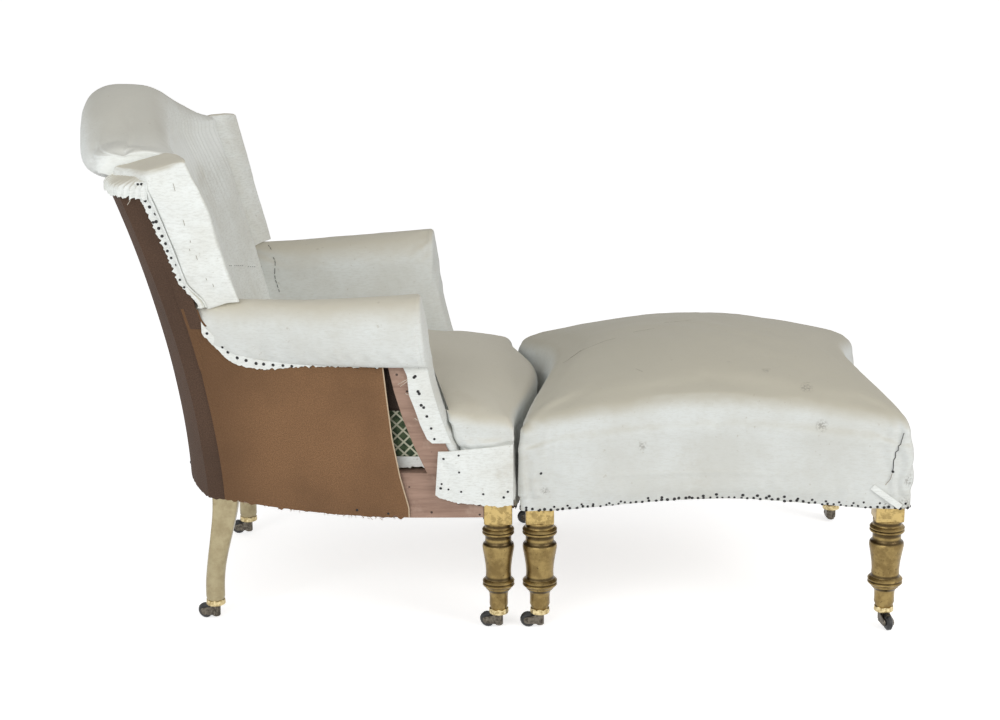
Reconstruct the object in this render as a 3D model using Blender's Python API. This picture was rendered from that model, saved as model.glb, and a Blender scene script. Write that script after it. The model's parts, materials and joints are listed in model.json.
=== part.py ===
"""Duchesse brisee: a low winged easy chair and the footstool that nests round its bowed seat.

The chair faces +X and its right side is at -Y. Lengths are metres, +Z is up and the floor is at zero.
Pieces are drawn in plan with x = 0 on the chair's front leg axes, and the two frames are then placed
so that the origin lies under the middle of the whole.
"""
import bpy
import bmesh
from math import copysign, cos, sin, pi, radians, sqrt
from mathutils import Vector

# Fits
GAP = 0.0003
SOFT_GAP = 0.0008
STUFFING_GAP = 0.003
FRAME_SETBACK = 0.0018
OVERRUN = 0.08
SMOOTH_ANGLE = radians(35)

# Chair frame
LEG_INSET = 0.0305
REAR_LEG_INSET = 0.023
RAIL_TOP = 0.292
RAIL_BOTTOM = 0.212
REAR_RAIL_RISE = 0.024
RAIL_RISE_START = -0.15
RAIL_THICKNESS = 0.028
BLOCK_HALF = 0.0245
BLOCK_BOTTOM = 0.1975
SEAT_CORNER_X = 0.030
SEAT_HALF_WIDTH = 0.308
SEAT_BOW = 0.047
COVER_THICKNESS = 0.0045

# Back and its lean
BACK_CORNER_X = -0.5025
LEAN_START = 0.215
LEAN_RUN = 0.571
LEAN_DEPTH = 0.123
LEAN_POWER = 1.75
BACK_BULGE = 0.065
POST_DEPTH = 0.048
POST_WIDTH = 0.040
POST_TOP = 0.786
POST_SETBACK = 0.003
SHEET_THICKNESS = 0.002

# Sides: how far they stand in from the seat's half width, at the rear and at the front, and their flare
REAR_NARROWING = 0.058
REAR_FLARE = 0.0862
SIDE_SETBACK = 0.0045
FRONT_FLARE = 0.080
FRONT_STATION_X = -0.10

# Inside faces of the back and arms
BACK_INSET = 0.050
BACK_HALF_FLARE = 0.115
BACK_FOOT_Z = 0.36
ARM_INSET = 0.056

# Inside back
INSIDE_BACK_X = -0.450
INSIDE_BACK_Z = 0.38
INSIDE_BACK_RAKE = 0.285
INSIDE_BACK_WRAP = 0.030
LUMBAR_SWELL = 0.010
PAD_BOTTOM = 0.2955

# Crest roll
CREST_TOP = 0.928
CREST_DROP = 0.078
CREST_ARCH_POWER = 1.3
ROLL_HALF_HEIGHT = 0.070
ROLL_HEIGHT_LOSS = 0.044
ROLL_REAR_DEPTH = 0.083
ROLL_REAR_LOSS = 0.020
ROLL_FRONT_DEPTH = 0.078
ROLL_SQUARENESS = 2.6
ROLL_CENTRE_X = -0.656
ROLL_CENTRE_SHIFT = 0.040
CREST_RAIL_HEIGHT = 0.050
CREST_RAIL_THICKNESS = 0.024

# Arms
ARM_UNDERSIDE = 0.488
ARM_ROLL_HEIGHT = 0.102
ARM_TOP_RISE = 0.016
ARM_OVERHANG = 0.044
ARM_RAIL_LIFT = 0.032
ARM_RAIL_HEIGHT = 0.040
ARM_RAIL_THICKNESS = 0.032
ARM_FRONT_X = -0.126
ARM_FRONT_SWEEP = 0.070
ARM_FRONT_Z = 0.60
ARM_FRONT_RUN = 0.30
ARM_FACE_PAD = 0.012
ARM_POST_DEPTH = 0.055
ARM_POST_THICKNESS = 0.030
TACK_TURN_X = -0.36
TACK_RISE = 0.067
SELVEDGE_TOP_X = -0.187
SELVEDGE_BOTTOM_X = -0.153

# Wings
WING_TOP = 0.840
WING_TOP_X = -0.551
WING_TOP_PITCH = 0.27
WING_TOP_FALL = 0.30
WING_CAP_Z = 0.7868
WING_FRONT_X = -0.508
WING_FRONT_Z = 0.83
WING_RAKE = 0.20
WING_RAKE_GAIN = 0.166
WING_SPLAY = 0.040
WING_SWELL = 0.012

# Seat crown
SEAT_CORNER_Z = 0.386
SEAT_LENGTH_RISE = 0.014
SEAT_WIDTH_RISE = 0.010
SEAT_CROWN = 0.036
SEAT_MIDDLE_X = -0.19
SEAT_SHOULDER = 0.020
SIDE_DRAW_IN = 0.003
SKIRT_SWEEP_END = 0.25

# Turned legs
CHAIR_RING_RADIUS = 0.0280
STOOL_RING_RADIUS = 0.0303
LEG_BOTTOM = 0.0305
LEG_FOOT_RADIUS = 0.0147
FOOT_HEIGHT = 0.0085

# Sabre legs
SABRE_SWEEP = 0.0275
SABRE_START = 0.25
SABRE_END = 0.05
SABRE_RADIUS = 0.0168
SABRE_SWELL_POWER = 1.5
SABRE_SQUARE_TOP = 0.245

# Castors
WHEEL_RADIUS = 0.0138
WHEEL_WIDTH = 0.012
WHEEL_ROUNDING = 0.0035
HUB_STEP = 0.0006
AXLE_RADIUS = 0.0024
AXLE_CLEARANCE = 0.0004
TRAIL = 0.0215
CHEEK_THICKNESS = 0.0022
CHEEK_CLEARANCE = 0.0008
CHEEK_RADIUS = 0.0060
RIVET_STAND = 0.0010
RIVET_RADIUS = 0.0036
HORN_RADIUS = 0.0075
HORN_BOTTOM = 0.0055
WHEEL_CLEARANCE = 0.0012
SPINDLE_RADIUS = 0.0040
SPINDLE_CLEARANCE = 0.0004
SPINDLE_LENGTH = 0.036
SOCKET_WALL = 0.0016
SOCKET_BASE = 0.0018
SOCKET_LIP = 0.0007
TOOTH_HEIGHT = 0.0022

# Footstool
NEST_SPACING = 0.072
STOOL_WHEELBASE = 0.603
STOOL_OVERHANG = 0.0345
STOOL_HOLLOW = 0.058
STOOL_SIDE_HOLLOW = 0.012
STOOL_RAIL_BOTTOM = 0.2235
STOOL_RAIL_TOP = 0.300
STOOL_ARCH = 0.017
STOOL_CORNER_Z = 0.384
STOOL_LENGTH_RISE = 0.032
STOOL_WIDTH_RISE = 0.018
STOOL_CROWN = 0.044
STOOL_SHOULDER = 0.026

# Webbing
STRAP_WIDTH = 0.050
STRAP_THICKNESS = 0.0024
STRAP_LAP = 0.014
SEAT_STRAPS_ALONG = 5
SEAT_STRAPS_ACROSS = 5
STOOL_STRAPS_ALONG = 5
STOOL_STRAPS_ACROSS = 6

# Facets
TURN_SEGMENTS = 16
WHEEL_SEGMENTS = 16
FORK_SEGMENTS = 12
RIVET_SEGMENTS = 8
CHEEK_SEGMENTS = 5

# Heights and radii of the turned leg, as shares of its turned height and of its ring radius
TURNED_LEG_SHARES = [
    (0.045, 0.580), (0.172, 0.585), (0.205, 0.690), (0.236, 0.810), (0.272, 1.000), (0.293, 0.945),
    (0.318, 1.000), (0.352, 0.820), (0.430, 0.785), (0.560, 0.860), (0.660, 0.945), (0.705, 0.985),
    (0.738, 0.975), (0.780, 0.815), (0.828, 0.810), (0.872, 1.000), (0.893, 0.945), (0.914, 1.000),
    (0.955, 0.820),
]
# How square the leg is where its block begins
BLOCK_SQUARE_SHARE = 0.6
# Widths of the arm's roll at heights between its underside and its top
ARM_ROLL_SHARES = [
    (0.0, 0.78), (0.12, 0.93), (0.32, 1.0), (0.55, 0.98), (0.76, 0.84), (0.91, 0.62), (1.0, 0.34),
]
# Heights of the wing's sections above its cap line, and how far each is drawn in
WING_CAP_SHARES = [(0.0, 0.0), (0.55, 0.0), (0.86, 0.12), (1.0, 0.42)]
# Plan of the wing's front: how much of the splay is left, and how far across from inside to outside
WING_NOSE_SHARES = [(1.0, 0.0), (0.35, 0.35), (0.0, 0.85), (0.1, 1.0)]
# Places across the arm's round front
ARM_NOSE_SHARES = [0.2, 0.5, 0.8]
DOME_SHARES = [0.84, 0.64, 0.42, 0.20]
# Angles round the crest roll, from its front to its lower back
ROLL_ANGLE_SHARES = [-0.06, 0.10, 0.26, 0.42, 0.58, 0.74, 0.88, 1.0, 1.14, 1.30, 1.44]
# Heights of the back's sections below the roll, up its front and down its rear
FRONT_RISE_SHARES = [0.0, 0.16, 0.33, 0.5, 0.67, 0.84]
REAR_FALL_SHARES = [0.93, 0.75, 0.5, 0.25, 0.0]

# Stations from the middle of the stool's end to its corner
END_STATION_SHARES = [0.0, 0.2, 0.4, 0.6, 0.74, 0.87, 1.0]

# Where each castor trails, in degrees from +X
CASTOR_TRAILS = {
    "chair_right_front": 157.0,
    "chair_left_front": 163.0,
    "chair_right_rear": 159.0,
    "chair_left_rear": 170.0,
    "stool_right_inner": 165.0,
    "stool_left_inner": 171.0,
    "stool_right_outer": -78.0,
    "stool_left_outer": 90.0,
}

# Worked out from the sizes above
AXLE_HEIGHT = WHEEL_RADIUS * cos(pi / WHEEL_SEGMENTS)
HORN_TOP = LEG_BOTTOM - SOCKET_BASE - GAP
LEG_Y = SEAT_HALF_WIDTH - LEG_INSET
FRONT_HALF_WIDTH = SEAT_HALF_WIDTH - SIDE_SETBACK
REAR_HALF_WIDTH = SEAT_HALF_WIDTH - REAR_NARROWING
REAR_LEG_Y = REAR_HALF_WIDTH - REAR_LEG_INSET
BACK_HALF_WIDTH = REAR_HALF_WIDTH - BACK_INSET
ARM_INNER_FRONT = SEAT_HALF_WIDTH - ARM_INSET
ROLL_OUTER_FRONT = SEAT_HALF_WIDTH + ARM_OVERHANG
ARM_TOP = ARM_UNDERSIDE + ARM_ROLL_HEIGHT
ARM_RAIL_TOP = ARM_UNDERSIDE + ARM_RAIL_LIFT + ARM_RAIL_HEIGHT
STOOL_INNER_X = NEST_SPACING
STOOL_OUTER_X = NEST_SPACING + STOOL_WHEELBASE
STOOL_MIDDLE_X = (STOOL_INNER_X + STOOL_OUTER_X) / 2
STOOL_HALF_LENGTH = STOOL_WHEELBASE / 2 + STOOL_OVERHANG
REAR_REACH = ROLL_CENTRE_X - ROLL_REAR_DEPTH
FRONT_REACH = STOOL_OUTER_X + STOOL_OVERHANG
ORIGIN_SHIFT = -(REAR_REACH + FRONT_REACH) / 2
WING_BOTTOM = ARM_TOP + SOFT_GAP * 2
ARM_LEVELS = [PAD_BOTTOM + (ARM_UNDERSIDE - PAD_BOTTOM) * i / 4 for i in range(5)]

for old in list(bpy.data.objects):
    bpy.data.objects.remove(old)


def finish(name, colour, roughness, metallic=0.0):
    material = bpy.data.materials.new(name)
    material.use_nodes = True
    shader = material.node_tree.nodes["Principled BSDF"]
    shader.inputs["Base Color"].default_value = (*colour, 1.0)
    shader.inputs["Roughness"].default_value = roughness
    shader.inputs["Metallic"].default_value = metallic
    return material


CALICO = finish("calico", (0.66, 0.64, 0.58), 0.9)
HESSIAN = finish("hessian", (0.26, 0.14, 0.07), 0.95)
BEECH = finish("beech", (0.42, 0.25, 0.16), 0.7)
GILT = finish("gilt_wood", (0.42, 0.29, 0.11), 0.4, 0.6)
BRASS = finish("brass", (0.55, 0.42, 0.18), 0.35, 1.0)
IRON = finish("iron", (0.12, 0.11, 0.10), 0.5, 0.9)
WHEEL_BLACK = finish("wheel_black", (0.015, 0.015, 0.016), 0.45)
JUTE = finish("jute_webbing", (0.38, 0.28, 0.16), 0.95)


def make_mesh(name, points, faces):
    """A mesh with its faces turned outwards and its round parts smooth."""
    mesh = bpy.data.meshes.new(name)
    mesh.from_pydata(points, [], faces)
    work = bmesh.new()
    work.from_mesh(mesh)
    bmesh.ops.recalc_face_normals(work, faces=work.faces)
    work.to_mesh(mesh)
    work.free()
    mesh.shade_smooth()
    mesh.set_sharp_from_angle(angle=SMOOTH_ANGLE)
    return mesh


def add_piece(name, mesh, material, parent, place=(0, 0, 0)):
    mesh.materials.clear()
    mesh.materials.append(material)
    piece = bpy.data.objects.new(name, mesh)
    bpy.context.collection.objects.link(piece)
    piece.parent = parent
    piece.location = place
    return piece


def add_empty(name, parent, place, turn=0.0):
    empty = bpy.data.objects.new(name, None)
    empty.empty_display_size = HORN_RADIUS
    bpy.context.collection.objects.link(empty)
    empty.parent = parent
    empty.location = place
    empty.rotation_euler = (0, 0, turn)
    return empty


def cut(piece, points, faces, operation="DIFFERENCE"):
    """Cuts or joins a piece with a hidden solid drawn in the same plan."""
    tool = bpy.data.objects.new(piece.name + "_tool", make_mesh(piece.name + "_tool", points, faces))
    bpy.context.collection.objects.link(tool)
    tool.parent = piece.parent
    tool.location = piece.location
    tool.hide_render = True
    tool.display_type = "WIRE"
    step = piece.modifiers.new("cut", "BOOLEAN")
    step.operation = operation
    step.object = tool
    step.solver = "EXACT"


def loft(rings):
    """Points and faces of a closed solid through rings of equal count, with flat ends."""
    count = len(rings[0])
    points = [point for ring in rings for point in ring]
    faces = []
    for level in range(len(rings) - 1):
        for i in range(count):
            j = (i + 1) % count
            low, high = level * count, (level + 1) * count
            faces.append((low + i, low + j, high + j, high + i))
    last = (len(rings) - 1) * count
    faces.append(tuple(range(count)))
    faces.append(tuple(range(last, last + count)))
    return points, faces


def turned(profile, segments, phase=0.0):
    """A solid of revolution about Z from a closed or axis-ended profile of (radius, height)."""
    rings = [[(r * cos(2 * pi * (i + phase) / segments), r * sin(2 * pi * (i + phase) / segments), z)
              for i in range(segments)] for r, z in profile]
    return loft(rings)


def ring_body(profile, segments, phase=0.0):
    """A ring-shaped solid about Z: the profile of (radius, height) closes on itself."""
    points, faces = turned(profile, segments, phase)
    faces = faces[:-2]
    last = (len(profile) - 1) * segments
    for i in range(segments):
        j = (i + 1) % segments
        faces.append((last + i, last + j, j, i))
    return points, faces


def slab(front, back, faces):
    """A closed solid between two matching layers of points, from the faces of the first layer."""
    count = len(front)
    uses = {}
    for face in faces:
        for a, b in zip(face, face[1:] + face[:1]):
            uses[frozenset((a, b))] = uses.get(frozenset((a, b)), 0) + 1
    solid = list(faces) + [tuple(i + count for i in reversed(face)) for face in faces]
    for face in faces:
        for a, b in zip(face, face[1:] + face[:1]):
            if uses[frozenset((a, b))] == 1:
                solid.append((b, a, a + count, b + count))
    return front + back, solid


def grid_faces(rows, columns):
    return [(r * columns + c, r * columns + c + 1, (r + 1) * columns + c + 1, (r + 1) * columns + c)
            for r in range(rows - 1) for c in range(columns - 1)]


def prism(outline, low, high):
    return loft([[(x, y, low) for x, y in outline], [(x, y, high) for x, y in outline]])


def blend(a, b, share):
    return a + (b - a) * share


def shares(count):
    return [i / (count - 1) for i in range(count)]


def mirrored(points, side):
    """Points drawn for the left side (+Y), moved to the side asked for."""
    return [(x, y * side, z) for x, y, z in points]


# The chair's shape, as functions of place

def hollow_share(y, half_width):
    """How much of a bow or hollow is reached at y: all of it in the middle, none at the corners."""
    return cos(pi / 2 * min(abs(y) / half_width, 1.0)) ** 2


def rail_bottom(x):
    """The rails' lower edge rises towards the back."""
    run = max(RAIL_RISE_START - x, 0.0) / (RAIL_RISE_START - BACK_CORNER_X)
    return RAIL_BOTTOM + REAR_RAIL_RISE * min(run, 1.0) ** 2


def corner_x(z):
    """The rear corner line: upright at the bottom, then raked."""
    return BACK_CORNER_X - LEAN_DEPTH * (max(z - LEAN_START, 0.0) / LEAN_RUN) ** LEAN_POWER


def rear_half(z):
    return REAR_HALF_WIDTH + REAR_FLARE * max(z - RAIL_BOTTOM, 0.0)


def outside_y(x, z):
    """Half width of the outside at a place on the side, from the rear corner to the arm's front."""
    front = FRONT_HALF_WIDTH + FRONT_FLARE * (z - RAIL_BOTTOM)
    rear_x = corner_x(z)
    share = min(max((x - rear_x) / (FRONT_STATION_X - rear_x), 0.0), 1.0)
    return blend(rear_half(z), front, sin(pi / 2 * share))


def frame_y(x, z):
    """Half width of the frame's outer face, just inside the outside sheet."""
    return outside_y(x, z) - SHEET_THICKNESS - SOFT_GAP


def back_half(z):
    """Half width of the inside back, where it meets the arms and wings."""
    return BACK_HALF_WIDTH + BACK_HALF_FLARE * (z - BACK_FOOT_Z)


def outside_back_x(y, z):
    return corner_x(z) - BACK_BULGE * (1 - min(abs(y) / rear_half(z), 1.0) ** 2)


def inside_back_x(share, z):
    """The sitter's side of the back, at a share of its half width."""
    swell = LUMBAR_SWELL * max(sin(pi * (z - PAD_BOTTOM) / (CREST_TOP - PAD_BOTTOM)), 0.0)
    return INSIDE_BACK_X - INSIDE_BACK_RAKE * (z - INSIDE_BACK_Z) + INSIDE_BACK_WRAP * share ** 2 + swell


def post_front_x(z):
    return corner_x(z) + POST_SETBACK + POST_DEPTH


def arm_front_x(z):
    """The arm's padded front edge sweeps forward as it goes down."""
    return ARM_FRONT_X + ARM_FRONT_SWEEP * (max(ARM_FRONT_Z - z, 0.0) / ARM_FRONT_RUN) ** 2


def arm_post_front_x(z):
    return arm_front_x(z) - ARM_FACE_PAD


def arm_inner_y(x, z):
    rear_x = inside_back_x(1.0, z)
    share = min(max((x - rear_x) / (FRONT_STATION_X - rear_x), 0.0), 1.0)
    return blend(back_half(z) + SOFT_GAP, ARM_INNER_FRONT, share)


def tack_line_z(x):
    """Lower edge of the arm's calico: level at the front, then a quarter ellipse up to the post."""
    rear_x = post_front_x(ARM_UNDERSIDE + TACK_RISE)
    share = min(max((TACK_TURN_X - x) / (TACK_TURN_X - rear_x), 0.0), 1.0)
    return ARM_UNDERSIDE + TACK_RISE * (1 - sqrt(1 - share ** 2))


def wing_front_x(z):
    fall = max(WING_FRONT_Z - z, 0.0)
    return WING_FRONT_X + WING_RAKE * fall + WING_RAKE_GAIN * fall ** 2 / WING_FRONT_Z


def wing_top_z(x, y):
    """The wing's top is one flat facet that falls towards the back and the outside."""
    return WING_TOP - WING_TOP_PITCH * (WING_TOP_X - x) - WING_TOP_FALL * (y - back_half(WING_TOP))


def seat_bow_x(y, inset=0.0):
    return SEAT_CORNER_X - inset + SEAT_BOW * hollow_share(y, SEAT_HALF_WIDTH)


# Frames

chair = add_empty("chair", None, (ORIGIN_SHIFT, 0, 0))
stool = add_empty("stool", None, (ORIGIN_SHIFT + STOOL_MIDDLE_X, 0, 0))


# Rails

def side_rail(side):
    start = BACK_CORNER_X + POST_SETBACK + POST_DEPTH + GAP
    end = -BLOCK_HALF - GAP
    rings = []
    for share in shares(8):
        x = blend(start, end, share)
        low = rail_bottom(x)
        outer = frame_y(x, low)
        inner = outer - RAIL_THICKNESS
        rings.append([(x, outer, low), (x, outer, RAIL_TOP), (x, inner, RAIL_TOP), (x, inner, low)])
    points, faces = loft(rings)
    return make_mesh("side_rail", mirrored(points, side), faces)


def bowed_rail(half_length, outer_x_at, low, thickness):
    """A rail across the chair whose outer face follows a curve and whose inner face is parallel."""
    rings = []
    for share in shares(11):
        y = blend(-half_length, half_length, share)
        outer = outer_x_at(y)
        inner = outer + thickness
        rings.append([(outer, y, low), (outer, y, RAIL_TOP), (inner, y, RAIL_TOP), (inner, y, low)])
    return loft(rings)


for side, word in ((-1, "right"), (1, "left")):
    add_piece("chair_" + word + "_seat_rail", side_rail(side), BEECH, chair)

front_half = LEG_Y - BLOCK_HALF - GAP
add_piece("chair_front_rail", make_mesh("front_rail", *bowed_rail(
    front_half, lambda y: seat_bow_x(y, COVER_THICKNESS + FRAME_SETBACK),
    RAIL_BOTTOM, -RAIL_THICKNESS)), BEECH, chair)
rear_half_length = REAR_LEG_Y - POST_WIDTH / 2 - GAP
add_piece("chair_back_rail", make_mesh("back_rail", *bowed_rail(
    rear_half_length, lambda y: outside_back_x(y, RAIL_BOTTOM) + SHEET_THICKNESS + SOFT_GAP,
    rail_bottom(BACK_CORNER_X), RAIL_THICKNESS)), BEECH, chair)


# Legs

def squared(radius, half, share, angle):
    """Distance from the axis to a section between round and square, at an angle."""
    square = half / max(abs(cos(angle)), abs(sin(angle)))
    return blend(radius, square, share)


def section(x, y, z, half_x, half_y, square_share, count=TURN_SEGMENTS):
    points = []
    for i in range(count):
        angle = 2 * pi * i / count
        reach = squared(1.0, 1.0, square_share, angle)
        points.append((x + half_x * reach * cos(angle), y + half_y * reach * sin(angle), z))
    return points


def spindle_bore(x, y):
    """Sections of the blind bore that takes the castor's spindle, from its inner end to the foot."""
    radius = SPINDLE_RADIUS + SPINDLE_CLEARANCE
    top = HORN_TOP + SPINDLE_LENGTH + GAP
    return [section(x, y, z, radius, radius, 0.0) for z in (top, LEG_BOTTOM)]


def turned_leg(ring_radius, block_top):
    """A turned leg on its own axis: bore, foot, turned rings and vase, and the square block."""
    height = BLOCK_BOTTOM - LEG_BOTTOM
    rings = spindle_bore(0, 0)
    rings += [section(0, 0, z, LEG_FOOT_RADIUS, LEG_FOOT_RADIUS, 0.0)
              for z in (LEG_BOTTOM, LEG_BOTTOM + FOOT_HEIGHT)]
    for height_share, radius_share in TURNED_LEG_SHARES:
        radius = ring_radius * radius_share
        rings.append(section(0, 0, LEG_BOTTOM + FOOT_HEIGHT * (1 - height_share) + height * height_share,
                             radius, radius, 0.0))
    chamfer = BLOCK_HALF / 5
    rings.append(section(0, 0, BLOCK_BOTTOM, BLOCK_HALF - chamfer, BLOCK_HALF - chamfer,
                         BLOCK_SQUARE_SHARE))
    rings += [section(0, 0, z, BLOCK_HALF, BLOCK_HALF, 1.0) for z in (BLOCK_BOTTOM + chamfer, block_top)]
    return make_mesh("turned_leg", *loft(rings))


def post_centre(z):
    return corner_x(z) + POST_SETBACK + POST_DEPTH / 2


def post_y(z):
    """Middle of the post: over its leg at the rail, and out to the back's full width at the top."""
    top_y = rear_half(POST_TOP) - SHEET_THICKNESS - SOFT_GAP - POST_WIDTH / 2
    return blend(REAR_LEG_Y, top_y, (z - SABRE_SQUARE_TOP) / (POST_TOP - SABRE_SQUARE_TOP))


def rear_leg(side):
    """Sabre leg and raked back post in one piece: round at the foot, square from the rail up."""
    rings = spindle_bore(0, 0)
    foot_x = post_centre(SABRE_START) - SABRE_SWEEP
    rings = [[(x + foot_x, y + REAR_LEG_Y, z) for x, y, z in ring] for ring in rings]
    rings += [section(foot_x, REAR_LEG_Y, z, LEG_FOOT_RADIUS, LEG_FOOT_RADIUS, 0.0)
              for z in (LEG_BOTTOM, LEG_BOTTOM + FOOT_HEIGHT)]
    for share in shares(8):
        z = blend(LEG_BOTTOM + FOOT_HEIGHT, SABRE_SQUARE_TOP, share)
        turn = min(max((SABRE_START - z) / (SABRE_START - SABRE_END), 0.0), 1.0)
        x = post_centre(SABRE_START) - SABRE_SWEEP * (1 - cos(pi * turn)) / 2
        thick = max(share - 1 / 4, 0.0) * 4 / 3
        half_x = blend(SABRE_RADIUS, POST_DEPTH / 2, thick ** SABRE_SWELL_POWER)
        half_y = blend(SABRE_RADIUS, POST_WIDTH / 2, thick ** SABRE_SWELL_POWER)
        rings.append(section(x, REAR_LEG_Y, z, half_x, half_y, min(thick * 2, 1.0)))
    for share in shares(8)[1:]:
        z = blend(SABRE_SQUARE_TOP, POST_TOP, share)
        rings.append(section(post_centre(z), post_y(z), z,
                             POST_DEPTH / 2, POST_WIDTH / 2, 1.0))
    points, faces = loft(rings)
    return make_mesh("rear_leg", mirrored(points, side), faces)


chair_leg = turned_leg(CHAIR_RING_RADIUS, RAIL_TOP)
for side, word in ((-1, "right"), (1, "left")):
    add_piece("chair_" + word + "_front_leg", chair_leg, GILT, chair, (0, side * LEG_Y, 0))
    add_piece("chair_" + word + "_rear_leg", rear_leg(side), GILT, chair)


# Crest rail, arm rails and arm posts

def crest_top_z(share):
    return CREST_TOP - CREST_DROP * abs(share) ** CREST_ARCH_POWER


def roll_half_height(share):
    return ROLL_HALF_HEIGHT - ROLL_HEIGHT_LOSS * share ** 2


def roll_centre(share):
    return ROLL_CENTRE_X + ROLL_CENTRE_SHIFT * share ** 2, crest_top_z(share) - roll_half_height(share)


def roll_point(share, angle):
    """A place round the roll, which is a squared oval, deeper or shallower behind its centre."""
    centre_x, centre_z = roll_centre(share)
    depth = ROLL_FRONT_DEPTH if cos(angle) > 0 else ROLL_REAR_DEPTH - ROLL_REAR_LOSS * share ** 2
    across = copysign(abs(cos(angle)) ** (2 / ROLL_SQUARENESS), cos(angle))
    up = copysign(abs(sin(angle)) ** (2 / ROLL_SQUARENESS), sin(angle))
    return centre_x + depth * across, centre_z + roll_half_height(share) * up


def crest_rail_section(share, clearance):
    """Upright rectangle inside the roll, level with the posts' tops at the ends and arched between."""
    centre_x, centre_z = roll_centre(share)
    end_top = POST_TOP - CREST_RAIL_THICKNESS / 4
    post_end = post_y(end_top - CREST_RAIL_HEIGHT) - POST_WIDTH / 2 - GAP
    y = share * post_end
    arch = CREST_DROP * (1 - abs(share) ** CREST_ARCH_POWER) / 2
    top = end_top + arch + clearance
    low = top - CREST_RAIL_HEIGHT - 2 * clearance
    middle = blend(post_centre(POST_TOP), centre_x, 1 - share ** 2)
    near = middle + CREST_RAIL_THICKNESS / 2 + clearance
    far = middle - CREST_RAIL_THICKNESS / 2 - clearance
    return [(near, y, low), (near, y, top), (far, y, top), (far, y, low)]


def crest_rail(clearance=0.0, beyond=0.0):
    """The rail itself, or the tunnel it lies in, which runs on a little past both ends."""
    rings = [crest_rail_section(blend(-1, 1, share), clearance) for share in shares(11)]
    if beyond:
        rings.insert(0, [(x, y - beyond, z) for x, y, z in rings[0]])
        rings.append([(x, y + beyond, z) for x, y, z in rings[-1]])
    return loft(rings)


def arm_rail_faces(x):
    """Inner and outer half widths of the arm rail at a station along it."""
    outer = frame_y(x, ARM_RAIL_TOP - ARM_RAIL_HEIGHT)
    return outer - ARM_RAIL_THICKNESS, outer


def arm_rail(side):
    start = post_front_x(ARM_RAIL_TOP - ARM_RAIL_HEIGHT) + GAP
    end = arm_post_front_x(ARM_RAIL_TOP) - GAP
    rings = []
    for share in shares(7):
        x = blend(start, end, share)
        inner, outer = arm_rail_faces(x)
        low = ARM_RAIL_TOP - ARM_RAIL_HEIGHT
        rings.append([(x, outer, low), (x, outer, ARM_RAIL_TOP), (x, inner, ARM_RAIL_TOP), (x, inner, low)])
    points, faces = loft(rings)
    return make_mesh("arm_rail", mirrored(points, side), faces)


def arm_post(side):
    rings = []
    for z in [RAIL_TOP + GAP] + ARM_LEVELS + [ARM_RAIL_TOP - ARM_RAIL_HEIGHT - GAP]:
        front = arm_post_front_x(z)
        rear = front - ARM_POST_DEPTH
        front_y, rear_y = frame_y(front, z), frame_y(rear, z)
        rings.append([(front, front_y - ARM_POST_THICKNESS, z), (front, front_y, z),
                      (rear, rear_y, z), (rear, rear_y - ARM_POST_THICKNESS, z)])
    points, faces = loft(rings)
    return make_mesh("arm_post", mirrored(points, side), faces)


add_piece("chair_crest_rail", make_mesh("crest_rail", *crest_rail()), BEECH, chair)
for side, word in ((-1, "right"), (1, "left")):
    add_piece("chair_" + word + "_arm_rail", arm_rail(side), BEECH, chair)
    add_piece("chair_" + word + "_arm_post", arm_post(side), BEECH, chair)


# Webbing

def strap_lines(start, end, count):
    """Edges of evenly spaced straps between two ends, with the ends themselves."""
    pitch = (end - start) / count
    edges = []
    for i in range(count):
        middle = start + pitch * (i + 1 / 2)
        edges += [middle - STRAP_WIDTH / 2, middle + STRAP_WIDTH / 2]
    return edges


def webbing(cross_edges, along_edges, ends_at, half_width_at, level_at):
    """A flat lattice of crossed straps; the lengthways ones end on curved rails."""
    columns, rows = len(cross_edges) + 1, len(along_edges) + 1
    front, back, index, faces = [], [], {}, []

    def corner(i, j):
        if (i, j) not in index:
            y = along_edges[min(max(j, 1), rows - 1) - 1]
            x = ends_at(y)[0] if i == 0 else ends_at(y)[1] if i == columns else cross_edges[i - 1]
            if j in (0, rows):
                y = half_width_at(x) * (1 if j else -1)
            index[(i, j)] = len(front)
            front.append((x, y, level_at(x)))
            back.append((x, y, level_at(x) - STRAP_THICKNESS))
        return index[(i, j)]

    for i in range(columns):
        for j in range(rows):
            if i % 2 == 1 or j % 2 == 1:
                faces.append((corner(i, j), corner(i + 1, j), corner(i + 1, j + 1), corner(i, j + 1)))
    return slab(front, back, faces)


def seat_strap_ends(y):
    rear = outside_back_x(y, RAIL_BOTTOM) + SHEET_THICKNESS + STRAP_LAP
    return rear, seat_bow_x(y, COVER_THICKNESS + STRAP_LAP)


seat_cross = strap_lines(post_front_x(RAIL_BOTTOM) + STRAP_LAP, -BLOCK_HALF - STRAP_LAP, SEAT_STRAPS_ACROSS)
seat_along = strap_lines(-rear_half_length + STRAP_LAP, rear_half_length - STRAP_LAP, SEAT_STRAPS_ALONG)
add_piece("chair_seat_webbing", make_mesh("seat_webbing", *webbing(
    seat_cross, seat_along, seat_strap_ends,
    lambda x: outside_y(x, rail_bottom(x)) - STRAP_LAP, lambda x: rail_bottom(x) - GAP)), JUTE, chair)


# Stuffed pieces

def inset(outline, distance):
    """An outline drawn anticlockwise, moved inwards by a distance."""
    moved = []
    for i, (x, y) in enumerate(outline):
        before, after = outline[i - 1], outline[(i + 1) % len(outline)]
        along = Vector((after[0] - before[0], after[1] - before[1])).normalized()
        moved.append((x - along.y * distance, y + along.x * distance))
    return moved


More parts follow.
